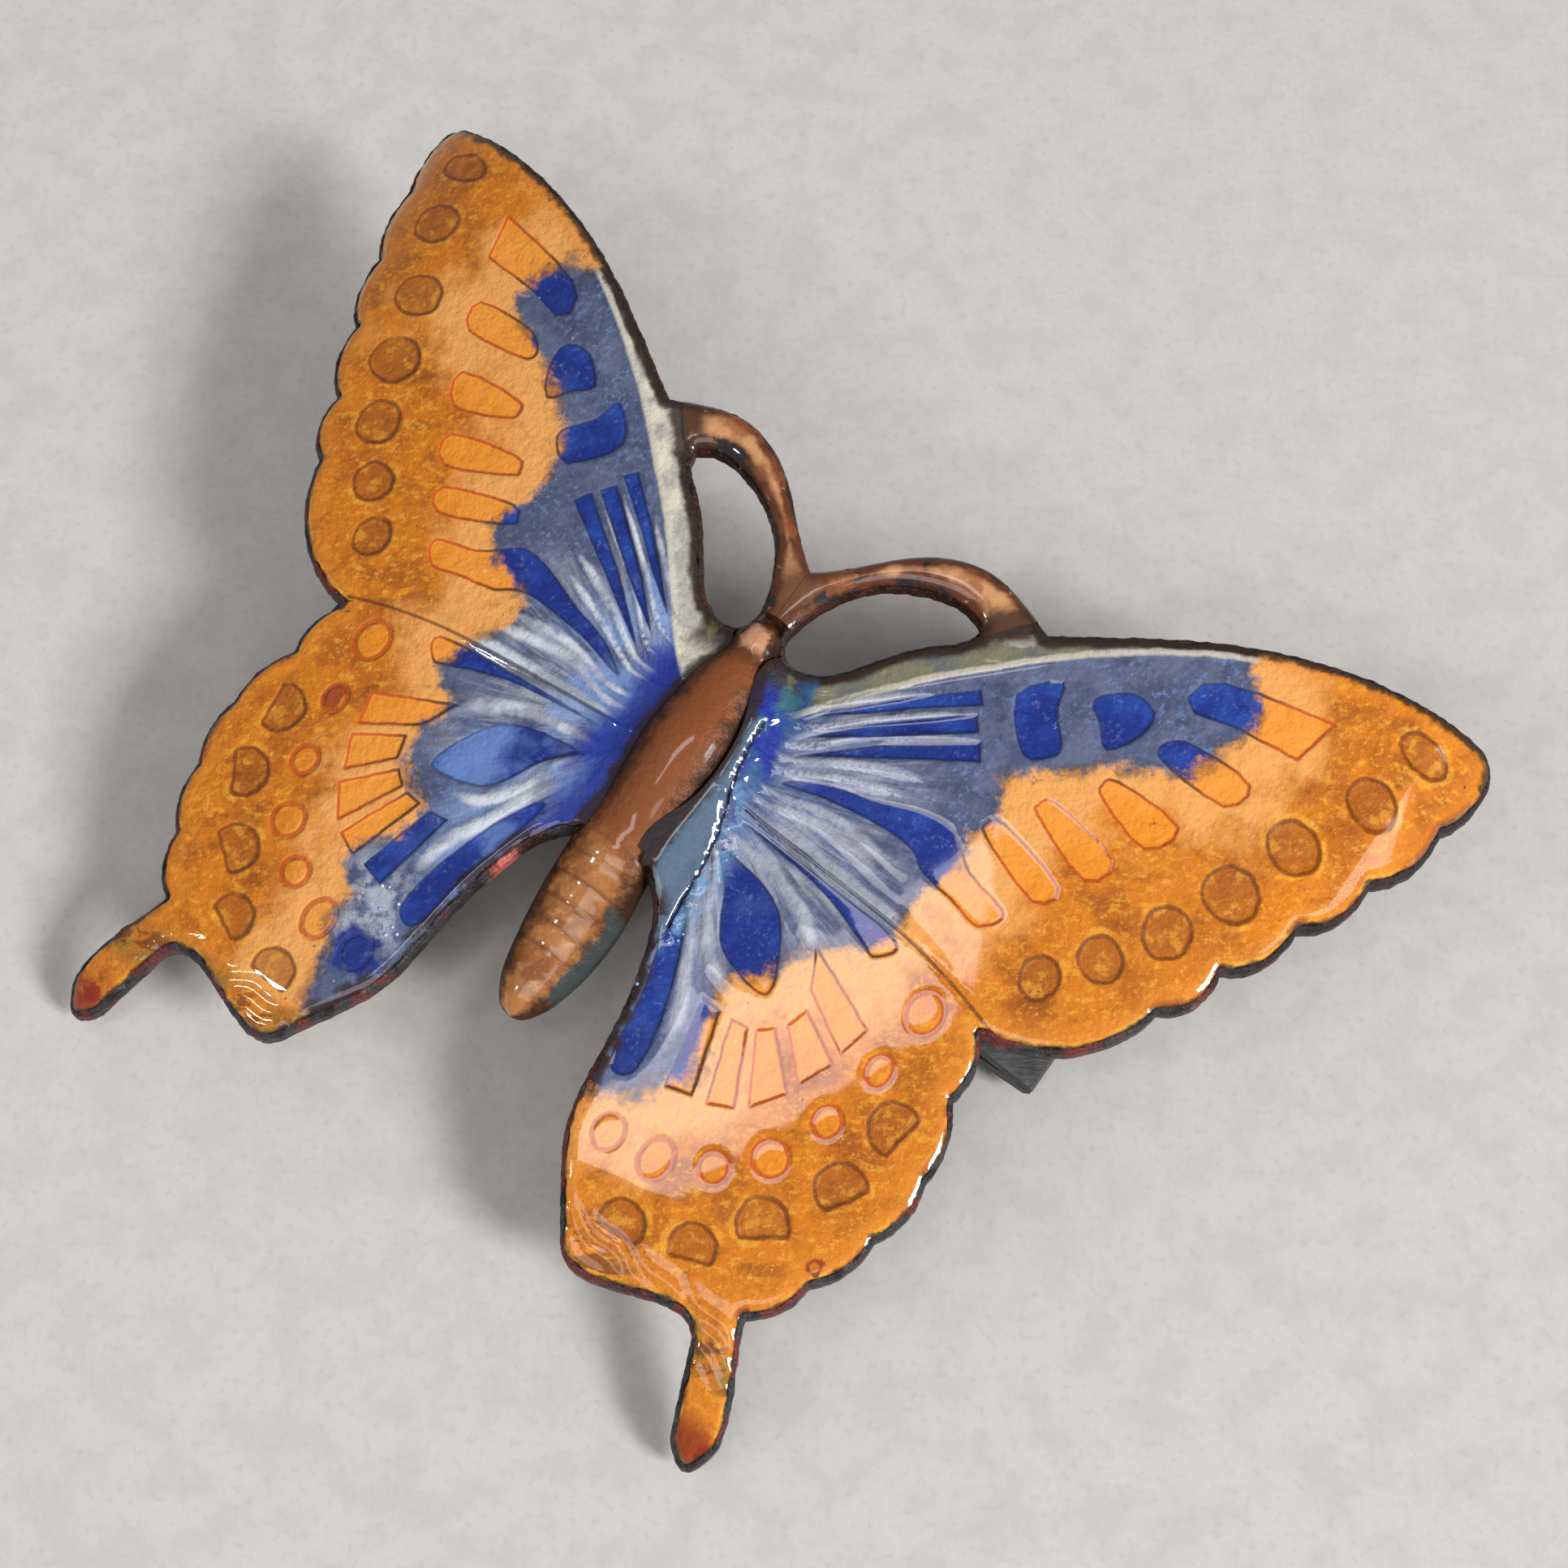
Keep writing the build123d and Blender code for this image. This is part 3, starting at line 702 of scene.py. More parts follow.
def ramp(value, low, high):
    return addNode("ShaderNodeMapRange", {"Value": value, "From Min": low, "From Max": high},
                   interpolation_type="SMOOTHSTEP").outputs[0]


def waver(value, noise, amount):
    return calc("ADD", value, calc("MULTIPLY", calc("SUBTRACT", noise, 0.5), amount))


def wavy(value, noise, amount, low, high):
    return ramp(waver(value, noise, amount), low, high)


def readValue(name):
    return addNode("ShaderNodeAttribute", attribute_name=name).outputs["Fac"]


def objectPlace():
    return addNode("ShaderNodeTexCoord").outputs["Object"]


def noiseAt(place, scale, detail, roughness=0.5):
    return addNode("ShaderNodeTexNoise", {"Vector": place, "Scale": scale, "Detail": detail,
                                          "Roughness": roughness}).outputs[0]


# The place in plan, and its x and y in millimetres
def planPlace():
    flat = {0: objectPlace(), 1: (1.0, 1.0, 0.0)}
    plan = addNode("ShaderNodeVectorMath", flat, operation="MULTIPLY").outputs[0]
    apart = addNode("ShaderNodeSeparateXYZ", {0: plan})
    return plan, calc("MULTIPLY", apart.outputs[0], 1000.0), calc("MULTIPLY", apart.outputs[1], 1000.0)


def newGroup(name, inputs, outputs):
    tree = bench["tree"] = bpy.data.node_groups.new(name, "ShaderNodeTree")
    for label, value in inputs:
        tree.interface.new_socket(label, in_out="INPUT", socket_type="NodeSocketFloat").default_value = value
    for label in outputs:
        tree.interface.new_socket(label, in_out="OUTPUT", socket_type="NodeSocketFloat")
    return tree, tree.nodes.new("NodeGroupInput").outputs, tree.nodes.new("NodeGroupOutput").inputs


# Cloudiness inside fired enamel and scale on fired copper
def makeMottleGroup():
    values = [("Scale", 300.0), ("Stretch", 1.0), ("Low", 0.4), ("High", 0.6)]
    tree, given, out = newGroup("firedMottle", values, ["Mask", "Value"])
    squeeze = addNode("ShaderNodeCombineXYZ", {"X": given["Stretch"], "Y": 1.0, "Z": 1.0}).outputs[0]
    turned = addNode("ShaderNodeVectorRotate", {"Vector": objectPlace(), "Angle": -0.6}).outputs[0]
    stretched = addNode("ShaderNodeVectorMath", {0: turned, 1: squeeze}, operation="MULTIPLY").outputs[0]
    noise = noiseAt(stretched, given["Scale"], 4.0, 0.62)
    tree.links.new(noise, out["Value"])
    tree.links.new(ramp(noise, given["Low"], given["High"]), out["Mask"])
    return tree


# A drawn line at a given distance, a little uneven
def makeLineGroup():
    tree, given, out = newGroup("unevenLine", [("Distance", 0.0), ("Width", 0.1), ("Waver", 0.1)], ["Mask"])
    uneven = waver(given["Distance"], noiseAt(objectPlace(), 1400.0, 3.0), given["Waver"])
    share = calc("DIVIDE", calc("ABSOLUTE", uneven), given["Width"])
    tree.links.new(ramp(share, 1.3, 0.4), out["Mask"])
    return tree


mottleGroup = makeMottleGroup()
lineGroup = makeLineGroup()


def mottle(scale, low=0.4, high=0.6, stretch=1.0, output="Mask"):
    node = addNode("ShaderNodeGroup", node_tree=mottleGroup)
    for name, value in (("Scale", scale), ("Low", low), ("High", high), ("Stretch", stretch)):
        node.inputs[name].default_value = value
    return node.outputs[output]


def drawnLine(distance, width, unevenness=0.1):
    node = addNode("ShaderNodeGroup", node_tree=lineGroup)
    node.inputs["Width"].default_value = width
    node.inputs["Waver"].default_value = unevenness
    bench["tree"].links.new(distance, node.inputs["Distance"])
    return node.outputs[0]


# How near a place of the plan is to a point: 1 inside, 0 outside
def patch(plan, centre, radius, noise=None, softness=0.25, squash=(1.0, 1.0)):
    squashed = addNode("ShaderNodeVectorMath", {0: plan, 1: (1000 / squash[0], 1000 / squash[1], 0.0)},
                       operation="MULTIPLY").outputs[0]
    target = (centre[0] / squash[0], centre[1] / squash[1], 0.0)
    away = addNode("ShaderNodeVectorMath", {0: squashed, 1: target}, operation="DISTANCE").outputs["Value"]
    if noise is not None:
        away = waver(away, noise, 2.4 * radius)
    return ramp(away, radius * (1 + softness), radius * (1 - softness))


# Brush streaks that fan out from the body
def streaks(fan, reach, side, turns, stretch, low, high):
    polar = {"X": scaled(fan, turns), "Y": scaled(reach, stretch), "Z": scaled(side, 9.0)}
    return ramp(noiseAt(addNode("ShaderNodeCombineXYZ", polar).outputs[0], 1.0, 3.0, 0.55), low, high)


def newMaterial(name, colours, **principled):
    material = bpy.data.materials.new(name)
    material.use_nodes = True
    bench.update(tree=material.node_tree, colours=colours)
    shader = material.node_tree.nodes["Principled BSDF"]
    for key, value in principled.items():
        shader.inputs[key.replace("_", " ")].default_value = value
    return material, shader


def connect(shader, **inputs):
    for key, value in inputs.items():
        bench["tree"].links.new(value, shader.inputs[key.replace("_", " ")])


def bumped(height, strength, depth):
    return addNode("ShaderNodeBump", {"Height": height, "Strength": strength, "Distance": depth}).outputs[0]


enamelColours = {
    "peach": (242, 168, 90), "gold": (214, 122, 10), "amber": (164, 82, 2), "fleck": (248, 178, 54),
    "umber": (130, 62, 4), "margin": (228, 138, 36), "cell": (246, 150, 30), "outline": (196, 76, 12),
    "spot": (160, 82, 6), "spotRing": (96, 40, 4), "edgeGold": (250, 186, 66), "tip": (138, 34, 12),
    "slate": (76, 86, 116), "slateLight": (112, 120, 150), "slateDark": (48, 56, 86), "deep": (10, 40, 128),
    "deepLight": (34, 76, 168), "speck": (112, 134, 186), "navy": (14, 22, 54), "root": (12, 40, 150),
    "pale": (132, 166, 224), "silver": (168, 170, 182), "white": (222, 228, 236), "hemLine": (206, 200, 184),
    "hem": (124, 122, 96), "hemLeft": (224, 218, 198), "fringe": (86, 60, 40), "brown": (44, 24, 12),
    "fillet": (84, 104, 126), "cracked": (120, 168, 210), "teal": (52, 116, 118), "copper": (214, 112, 100),
    "rust": (146, 52, 16), "olive": (112, 104, 40), "stray": (132, 112, 100),
}


def makeWingEnamel():
    material, shader = newMaterial("firedWingEnamel", enamelColours, Coat_Roughness=0.035,
                                   Specular_IOR_Level=0.15)
    wide, soft, fine, grain = (mottle(scale, output="Value") for scale in (150, 420, 1500, 4200))
    blueEdge, rim, cell, spot, ring, body, crack = map(readValue, (
        "blueEdge", "rimEdge", "cellEdge", "spotEdge", "ringEdge", "bodyEdge", "crackEdge"))
    lead, bar, crease, right, fan, reach, ridge = map(readValue, (
        "hemEdge", "barEdge", "creaseEdge", "rightSide", "fan", "reach", "ridge"))
    left = calc("SUBTRACT", 1.0, right)
    leftMore = scaled(left, 0.6, 0.4)
    plan, across, down = planPlace()
    inCell = wavy(cell, fine, 0.12, 0.05, -0.05)
    inSpot = wavy(spot, soft, 0.5, 0.1, -0.14)

    # Orange fields
    zone = wavy(waver(blueEdge, wide, 9.0), soft, 5.0, 1.8, 4.4)
    zone = calc("MAXIMUM", zone, ramp(down, -16.5, -17.5))
    neck = both(ramp(down, -16.8, -17.8), ramp(down, -19.6, -18.6))
    tailSpots = calc("MAXIMUM", patch(plan, (18.0, -21.4), 0.4, fine),
                     patch(plan, (-16.9, -21.2), 0.45, fine))
    ground = paint(
        "peach",
        (zone, "gold"),
        (both(mottle(330, 0.46, 0.62, 1.4), zone), "amber", 0.6),
        (both(mottle(700, 0.52, 0.66, 0.55), zone), "umber", 0.5),
        (mottle(900, 0.55, 0.72, 0.6), "amber", 0.25),
        # Golden flecks: partly the grain of the copper under the glass, partly painted sparkle where light
        # glints off it
        (both(mottle(2600, 0.53, 0.66, 0.6), zone), "fleck", 0.5),
        (mottle(4200, 0.56, 0.68), "fleck", 0.5),
        (wavy(rim, soft, 2.0, 1.5, 0.5), "margin", 0.55),
        (inCell, "cell", 0.75),
        (drawnLine(cell, 0.08, 0.14), layer("outline", wavy(blueEdge, soft, 1.6, 1.5, 0.3), "brown"), 0.85),
        (inSpot, "spot", 0.62),
        # Golden flecks inside the spots: partly grain, partly painted sparkle
        (both(inSpot, mottle(1300, 0.52, 0.62)), "fleck", 0.4),
        # A bright ring just outside each spot: painted highlight standing in for the lit wall of the recessed
        # spot
        (both(drawnLine(calc("SUBTRACT", spot, 0.22), 0.16, 0.4), mottle(500, 0.52, 0.64)), "fleck", 0.5),
        (both(drawnLine(spot, 0.11, 0.3), mottle(420, 0.24, 0.44)), "spotRing", 0.7),
        (ramp(ring, 0.0, -0.2), "cell", 0.5),
        (drawnLine(ring, 0.12, 0.2), "outline", 0.75),
        (patch(plan, (-15.1, -4.7), 0.55, fine, 0.3), "rust", 0.85),
        (drawnLine(crease, 0.09, 0.06), "spotRing", 0.75),
        (both(ramp(rim, 0.5, 0.3), ramp(soft, 0.42, 0.56)), "edgeGold", 0.8),
        (both(ramp(down, -19.8, -21.2), mottle(620, 0.4, 0.54)), "tip", 0.85),
        (both(neck, mottle(500, 0.46, 0.58)), "olive", 0.7),
        (both(neck, mottle(1500, 0.5, 0.56, 0.22)), "spotRing", 0.7),
        (tailSpots, "tip", 0.9),
        (patch(plan, (17.5, -12.8), 0.36, fine), "tip", 0.85),
        (patch(plan, (17.5, -12.8), 0.2), "gold", 0.85),
        (both(ramp(rim, 0.62, 0.36), mottle(340, 0.56, 0.62)), "tip", 0.7))

    # Blue fields
    inner = wavy(reach, wide, 5.0, 11.0, 5.5)
    broad = both(streaks(fan, reach, right, 5.0, 0.16, 0.44, 0.6), inner)
    narrow = both(streaks(fan, reach, left, 17.0, 0.3, 0.46, 0.62), inner)
    thin = both(streaks(fan, reach, right, 46.0, 0.5, 0.5, 0.66), inner)
    milk = both(wavy(body, wide, 5.0, 7.5, 3.0), mottle(230, 0.4, 0.56), scaled(left, 0.62, 0.2))
    # Where the raised ridges show: partly their silvery ground, partly painted sheen where the ridges catch
    # the light
    silver = both(wavy(ridge, fine, 0.7, 0.3, 0.95), ramp(cell, -0.02, 0.12))
    glow = both(patch(plan, (-7.6, -11.4), 1.9, soft, 0.6), mottle(900, 0.4, 0.56), left)
    seaCell = paint(
        "deep",
        (mottle(380, 0.44, 0.66), "deepLight", 0.75),
        (both(mottle(4000, 0.55, 0.66), mottle(700, 0.4, 0.6)), "speck", 0.4),
        (patch(plan, (-7.6, -3.4), 1.7, soft, 0.5, (1.0, 1.3)), "pale", 0.55),
        (both(milk, mottle(300, 0.45, 0.55)), "pale", 0.5))
    sea = paint(
        "slate",
        (mottle(500, 0.4, 0.62), "slateLight", 0.55),
        (mottle(900, 0.5, 0.66), "slateDark", 0.45),
        (both(mottle(3400, 0.52, 0.62), ramp(soft, 0.35, 0.6)), "speck", 0.6),
        (both(broad, wavy(reach, soft, 2.0, 2.4, 3.8)), "silver", 0.85),
        (narrow, "slateDark", 0.55),
        (both(thin, ramp(reach, 1.5, 3.5)), "silver", 0.55),
        (milk, "pale", 0.8),
        # Painted sheen on the ridges: silver, and white on the left wing
        (both(silver, mottle(420, 0.3, 0.6, 0.4)), "silver", 0.85),
        (both(silver, leftMore, mottle(260, 0.42, 0.56)), "white", 0.8),
        (glow, "white", 0.5))
    sea = layer(sea, inCell, layer(sea, scaled(ramp(reach, 2.6, 4.6), 0.6, 0.4), seaCell))

    # Roots beside the body, the crack, and the hem along the leading edge
    lowDown = wavy(down, soft, 3.0, 3.0, 0.5)
    highUp = calc("SUBTRACT", 1.0, lowDown)
    rootSea = layer("root", mottle(700, 0.42, 0.56), "teal", 0.5)
    hemBrown = calc("MAXIMUM", wavy(rim, soft, 0.9, 0.85, 0.55), wavy(bar, soft, 1.4, 0.85, 0.35))
    hem = paint(
        layer("hem", left, "hemLeft"),
        (mottle(600, 0.44, 0.62), "slate", 0.45),
        (mottle(1400, 0.55, 0.66, 0.3), "hemLine", 0.5),
        (hemBrown, "brown", 0.92))
    hemStart = calc("MAXIMUM", left, wavy(across, soft, 1.6, 3.0, 3.7))
    hemLine = drawnLine(calc("SUBTRACT", lead, 0.16), 0.17, 0.16)
    innerEdge = both(wavy(rim, soft, 1.1, 0.95, 0.5), ramp(down, -3.0, -4.5), mottle(480, 0.42, 0.52))
    sea = paint(
        sea,
        # A dark navy line just inside each recessed cell's edge: painted shade in the recess
        (drawnLine(calc("ADD", cell, 0.04), 0.07, 0.12), "navy", 0.5),
        (drawnLine(crease, 0.1, 0.1), "navy", 0.7),
        (patch(plan, (-7.0, -13.35), 1.15, fine, 0.35, (1.15, 0.85)), "deep", 0.95),
        (both(wavy(body, soft, 2.6, 2.6, 1.0), ramp(crack, 0.0, 0.5), leftMore), "root", 0.9),
        (both(wavy(body, soft, 2.0, 2.4, 1.4), right, highUp), rootSea, 0.9),
        (both(ramp(crack, 1.5, 0.25), mottle(900, 0.42, 0.55), lowDown), "cracked", 0.7),
        # Tiny white specks beside the crack: painted glints
        (both(ramp(crack, 0.9, 0.2), mottle(2000, 0.62, 0.68), lowDown), "white", 0.8),
        (ramp(crack, 0.05, -0.12), "fillet"),
        (drawnLine(crack, 0.09, 0.2), "navy", 0.95),
        (ramp(lead, 0.0, 0.2), layer(rootSea, hemStart, hem)),
        (both(hemLine, ramp(reach, 3.6, 5.2)), "hemLine", 0.85),
        (both(wavy(body, soft, 2.0, 2.0, 1.2), ramp(down, 5.2, 6.6)),
         layer("brown", mottle(900, 0.5, 0.6), "olive", 0.7), 0.9),
        (patch(plan, (2.7, 6.0), 0.5, fine, 0.6), "teal", 0.55),
        (innerEdge, "brown", 0.9),
        (patch(plan, (-3.5, -6.7), 0.5, fine, 0.3, (0.75, 1.7)), "copper", 0.9),
        (patch(plan, (-2.9, -5.3), 0.5, fine, 0.3), "brown", 0.9),
        (wavy(body, fine, 0.9, 0.42, 0.0), "brown", 0.9))

    # Where the two colours flowed together
    wobble = wavy(waver(waver(blueEdge, soft, 2.4), fine, 1.4), grain, 0.6, 0.34, -0.3)
    nearEdge = calc("ABSOLUTE", waver(blueEdge, soft, 2.2))
    aroundEdge = calc("ABSOLUTE", waver(blueEdge, soft, 3.0))
    colour = paint(
        layer(ground, wobble, sea),
        (both(drawnLine(waver(blueEdge, soft, 2.8), 0.5, 0.8), mottle(700, 0.44, 0.6)), "fringe", 0.5),
        (both(ramp(nearEdge, 1.3, 0.3), mottle(2600, 0.64, 0.68)), "stray", 0.75),
        (both(mottle(1300, 0.72, 0.745), ramp(blueEdge, -4.0, 0.0)), "brown", 0.8),
        (both(mottle(2800, 0.69, 0.72), ramp(aroundEdge, 2.2, 0.6)), "white", 0.5),
        (wavy(rim, fine, 0.4, 0.42, 0.24), "brown", 0.9),
        (both(ramp(lead, -0.6, 0.3), wavy(rim, fine, 0.8, 0.72, 0.4)), "brown", 0.92))
    dull = both(ramp(across, 23.5, 25.5), ramp(rim, 0.3, 0.5))

    # Relief under the clear glass
    relief = calc("MULTIPLY", fine, 0.1)
    for mark, depth in ((ramp(cell, 0.16, -0.16), -0.09), (ramp(spot, 0.2, -0.2), -0.1),
                        (drawnLine(ring, 0.16, 0.0), -0.07), (ridge, 0.12), (mottle(1100, 0.35, 0.7), 0.05),
                        (grain, 0.06)):
        relief = scaled(mark, depth, relief)
    connect(shader, Base_Color=colour, Roughness=scaled(fine, 0.3, 0.3), Coat_Weight=scaled(dull, -0.9, 1.0),
            Normal=bumped(relief, 0.9, 0.001))
    return material


bodyColours = {
    "brown": (134, 72, 28), "tan": (182, 118, 62), "dark": (40, 20, 8), "head": (204, 146, 112),
    "grey": (58, 64, 64), "line": (112, 60, 26), "glint": (214, 156, 96),
}


def makeBodyEnamel():
    material, shader = newMaterial("firedBodyEnamel", bodyColours, Coat_Roughness=0.08,
                                   Specular_IOR_Level=0.2)
    along, flank, ring = map(readValue, ("along", "flank", "ring"))
    soft, fine = mottle(500, output="Value"), mottle(1800, output="Value")
    side = calc("ABSOLUTE", flank)
    # The pinkish top of the head: a painted highlight on the crown
    crown = both(wavy(along, fine, 0.8, 6.5, 7.0), wavy(along, fine, 0.8, 8.1, 7.7),
                 wavy(side, fine, 0.6, 0.72, 0.4))
    chip = both(wavy(flank, soft, 0.9, 0.6, 0.72), wavy(along, fine, 1.0, -5.2, -5.9),
                wavy(along, fine, 1.0, -10.4, -9.8))
    colour = paint(
        "brown",
        (wavy(along, soft, 3.0, -2.5, -5.0), "tan"),
        (mottle(600, 0.46, 0.64, 0.8), "brown", 0.8),
        (both(mottle(1800, 0.54, 0.66, 0.5), ramp(along, -2.0, -4.5)), "glint", 0.55),
        (wavy(along, fine, 0.8, 5.6, 6.6), "dark", 0.55),
        # Painted highlight on the top of the head
        (crown, "head", 0.95),
        (both(ring, mottle(420, 0.3, 0.55)), "line", 0.75),
        # Dark on both flanks of the body: painted shade where the round body turns away from the light
        (wavy(waver(side, fine, 0.8), soft, 0.4, 0.4, 0.9), "dark", 0.95),
        (chip, "grey"))
    dull = calc("MAXIMUM", chip, wavy(side, soft, 0.4, 0.4, 0.65))
    connect(shader, Base_Color=colour, Roughness=scaled(fine, 0.3, 0.25), Coat_Weight=scaled(dull, -0.9, 1.0),
            Normal=bumped(fine, 0.6, 0.0002))
    return material


antennaColours = {
    "base": (100, 48, 22), "paintedLitTop": (212, 154, 104), "tan": (150, 84, 42), "edge": (44, 22, 12),
    "foot": (60, 32, 16), "web": (84, 44, 20), "fleck": (214, 176, 130), "red": (158, 40, 30),
    "black": (34, 30, 30),
}


def makeAntennaEnamel():
    material, shader = newMaterial("firedAntennaEnamel", antennaColours, Coat_Weight=1.0, Coat_Roughness=0.05,
                                   Specular_IOR_Level=0.2)
    soft, fine = mottle(450, output="Value"), mottle(1800, output="Value")
    rim = waver(readValue("rimEdge"), soft, 1.2)
    _, across, _ = planPlace()
    web = calc("ADD", calc("ABSOLUTE", across), calc("MULTIPLY", soft, 2.0))
    colour = paint(
        "base",
        # Lighter along the middle of each round bar: painted highlight on its top
        (ramp(rim, 0.45, 0.85), "paintedLitTop"),
        (mottle(380, 0.5, 0.62), "tan", 0.7),
        # Darker at the bar's edges: partly the dark enamel edge, partly painted shade on the bar's rounded
        # sides
        (ramp(rim, 0.34, 0.12), "edge"),
        (wavy(readValue("wingEdge"), soft, 1.6, 1.5, 0.7), "foot", 0.92),
        (ramp(web, 2.8, 1.5), "web", 0.85),
        (mottle(2400, 0.66, 0.7), "fleck", 0.5),
        (mottle(820, 0.685, 0.7), "red", 0.8),
        (both(mottle(560, 0.57, 0.6), ramp(rim, 0.65, 0.45)), "black"))
    connect(shader, Base_Color=colour, Roughness=scaled(fine, 0.3, 0.25), Normal=bumped(fine, 0.4, 0.0002))
    return material


copperColours = {
    "scale": (58, 57, 59), "dark": (28, 24, 24), "oxide": (118, 44, 38), "worn": (112, 112, 112),
    "front": (40, 26, 20), "bare": (222, 118, 108), "torn": (24, 18, 16), "bar": (72, 36, 22),
    "back": (120, 68, 46), "backDark": (70, 42, 34),
}


def makeCopper(name, bead=False):
    material, shader = newMaterial(name, copperColours, Metallic=0.3)
    fine = mottle(2600, output="Value")
    plan, _, down = planPlace()
    front = calc("ADD", down, calc("MULTIPLY", mottle(300, output="Value"), 3.0))
    colour = paint(
        "scale",
        (mottle(900, 0.45, 0.62), "dark"),
        (mottle(520, 0.5, 0.6), "oxide", 0.85),
        (mottle(2400, 0.6, 0.7), "worn", 0.6),
        (ramp(front, 7.5, 10.5), "front", 0.8),
        (patch(plan, (-3.5, -6.7), 0.7, fine, 0.3, (0.8, 1.5)), "bare", 0.9),
        (patch(plan, (-3.0, -5.2), 0.9, fine, 0.3), "torn", 0.9))
    if not bead:
        normal = addNode("ShaderNodeNewGeometry").outputs["Normal"]
        facing = addNode("ShaderNodeSeparateXYZ", {0: normal}).outputs[2]
        colour = paint(
            colour,
            (readValue("barZone"), "bar", 0.9),
            (ramp(facing, -0.6, -0.9), layer("back", mottle(260, 0.42, 0.6), "backDark")))
    connect(shader, Base_Color=colour, Roughness=scaled(fine, 0.5, 0.2), Normal=bumped(fine, 0.9, 0.0003))
    return material


def makeBubbleGlass():
    colours = {"blue": (120, 156, 204), "white": (206, 216, 226)}
    material, shader = newMaterial("bubbleGlass", colours, Coat_Weight=1.0, Coat_Roughness=0.03,
                                   Roughness=0.3)
    connect(shader, Base_Color=layer("blue", mottle(600, 0.45, 0.58), "white"))
    return material


def makeSteel(name, tone, roughness):
    material, shader = newMaterial(name, {"tone": tone, "stain": (92, 62, 46)}, Metallic=0.9)
    grain = mottle(5000, stretch=0.06, output="Value")
    dark = tuple(v * 0.4 for v in srgb(tone)[:3]) + (1.0,)
    colour = paint("tone", (mottle(350, 0.45, 0.7), dark), (mottle(1200, 0.62, 0.7), "stain", 0.5))
    connect(shader, Base_Color=colour, Roughness=scaled(grain, 0.3, roughness - 0.15),
            Normal=bumped(grain, 0.3, 0.00006))
    return material


def giveMaterial(material, *pieces):
    for piece in pieces:
        piece.data.materials.clear()
        piece.data.materials.append(material)


giveMaterial(makeWingEnamel(), *wingPieces)
giveMaterial(makeAntennaEnamel(), *antennaPieces)
giveMaterial(makeBodyEnamel(), bodyPiece)
giveMaterial(makeCopper("fireDarkenedCopper"), copperPlate)
beadCopper = makeCopper("fireScaledBead", True)
springs = ("tension_bow", "rear_catch_prong", "front_catch_prong")
plain = ("clasp_base", "fixing_posts", "hinge_pin", "clasp_arm", "bow_rivet", "catch_rivet", "catch_block")
giveMaterial(makeSteel("dullNickelSteel", (84, 84, 84), 0.5), *(nodes[name] for name in plain))
giveMaterial(makeSteel("hardenedStrip", (84, 88, 94), 0.4), *(nodes[name] for name in springs))
print("materials made")


# Geometry Nodes: a modifier's tree, and the plain mesh that it gives
def newGeometryTree(name, sockets):
    tree = bench["tree"] = bpy.data.node_groups.new(name, "GeometryNodeTree")
    for label, kind, value in (("Geometry", "Geometry", None), *sockets, ("Material", "Material", None)):
        socket = tree.interface.new_socket(label, in_out="INPUT", socket_type="NodeSocket" + kind)
        if value is not None:
            socket.default_value = value
    tree.interface.new_socket("Geometry", in_out="OUTPUT", socket_type="NodeSocketGeometry")
    return tree, tree.nodes.new("NodeGroupInput").outputs


# Every tree ends in plain, smooth geometry with its material
def endTree(tree, shape, material):
    for kind in ("GeometryNodeRealizeInstances", "GeometryNodeSetShadeSmooth"):
        shape = addNode(kind, {"Geometry": shape}).outputs[0]
    shape = addNode("GeometryNodeSetMaterial", {"Geometry": shape, "Material": material}).outputs[0]
    tree.links.new(shape, tree.nodes.new("NodeGroupOutput").inputs[0])
    return tree


def bakeTree(carrier, tree, values, name):
    modifier = carrier.modifiers.new("shape", "NODES")
    modifier.node_group = tree
    for item in tree.interface.items_tree:
        if item.in_out == "INPUT" and item.name in values:
            modifier[item.identifier] = values[item.name]
    graph = bpy.context.evaluated_depsgraph_get()
    mesh = bpy.data.meshes.new_from_object(carrier.evaluated_get(graph))
    carrier.modifiers.remove(modifier)
    bpy.data.objects.remove(carrier)
    mesh.name = name
    piece = bpy.data.objects.new(name, mesh)
    scene.collection.objects.link(piece)
    return piece


# What a tree starts from: lines or faces that lie a little under the enamel's surface
def newCarrier(places, sink, edges, faces):
    mesh = bpy.data.meshes.new("carrier")
    heights = faceHeight(places) - sink
    mesh.from_pydata((np.column_stack([places, heights]) * mm).tolist(), edges, faces)
    carrier = bpy.data.objects.new("carrier", mesh)
    scene.collection.objects.link(carrier)
    return carrier


# A lumpy bead that follows each edge of the plate, where the fired copper and the enamel meet
beadShape = {"radius": 0.15, "waver": 0.5, "lumpSize": 0.9, "inset": 0.19, "sink": 0.34, "step": 0.12}


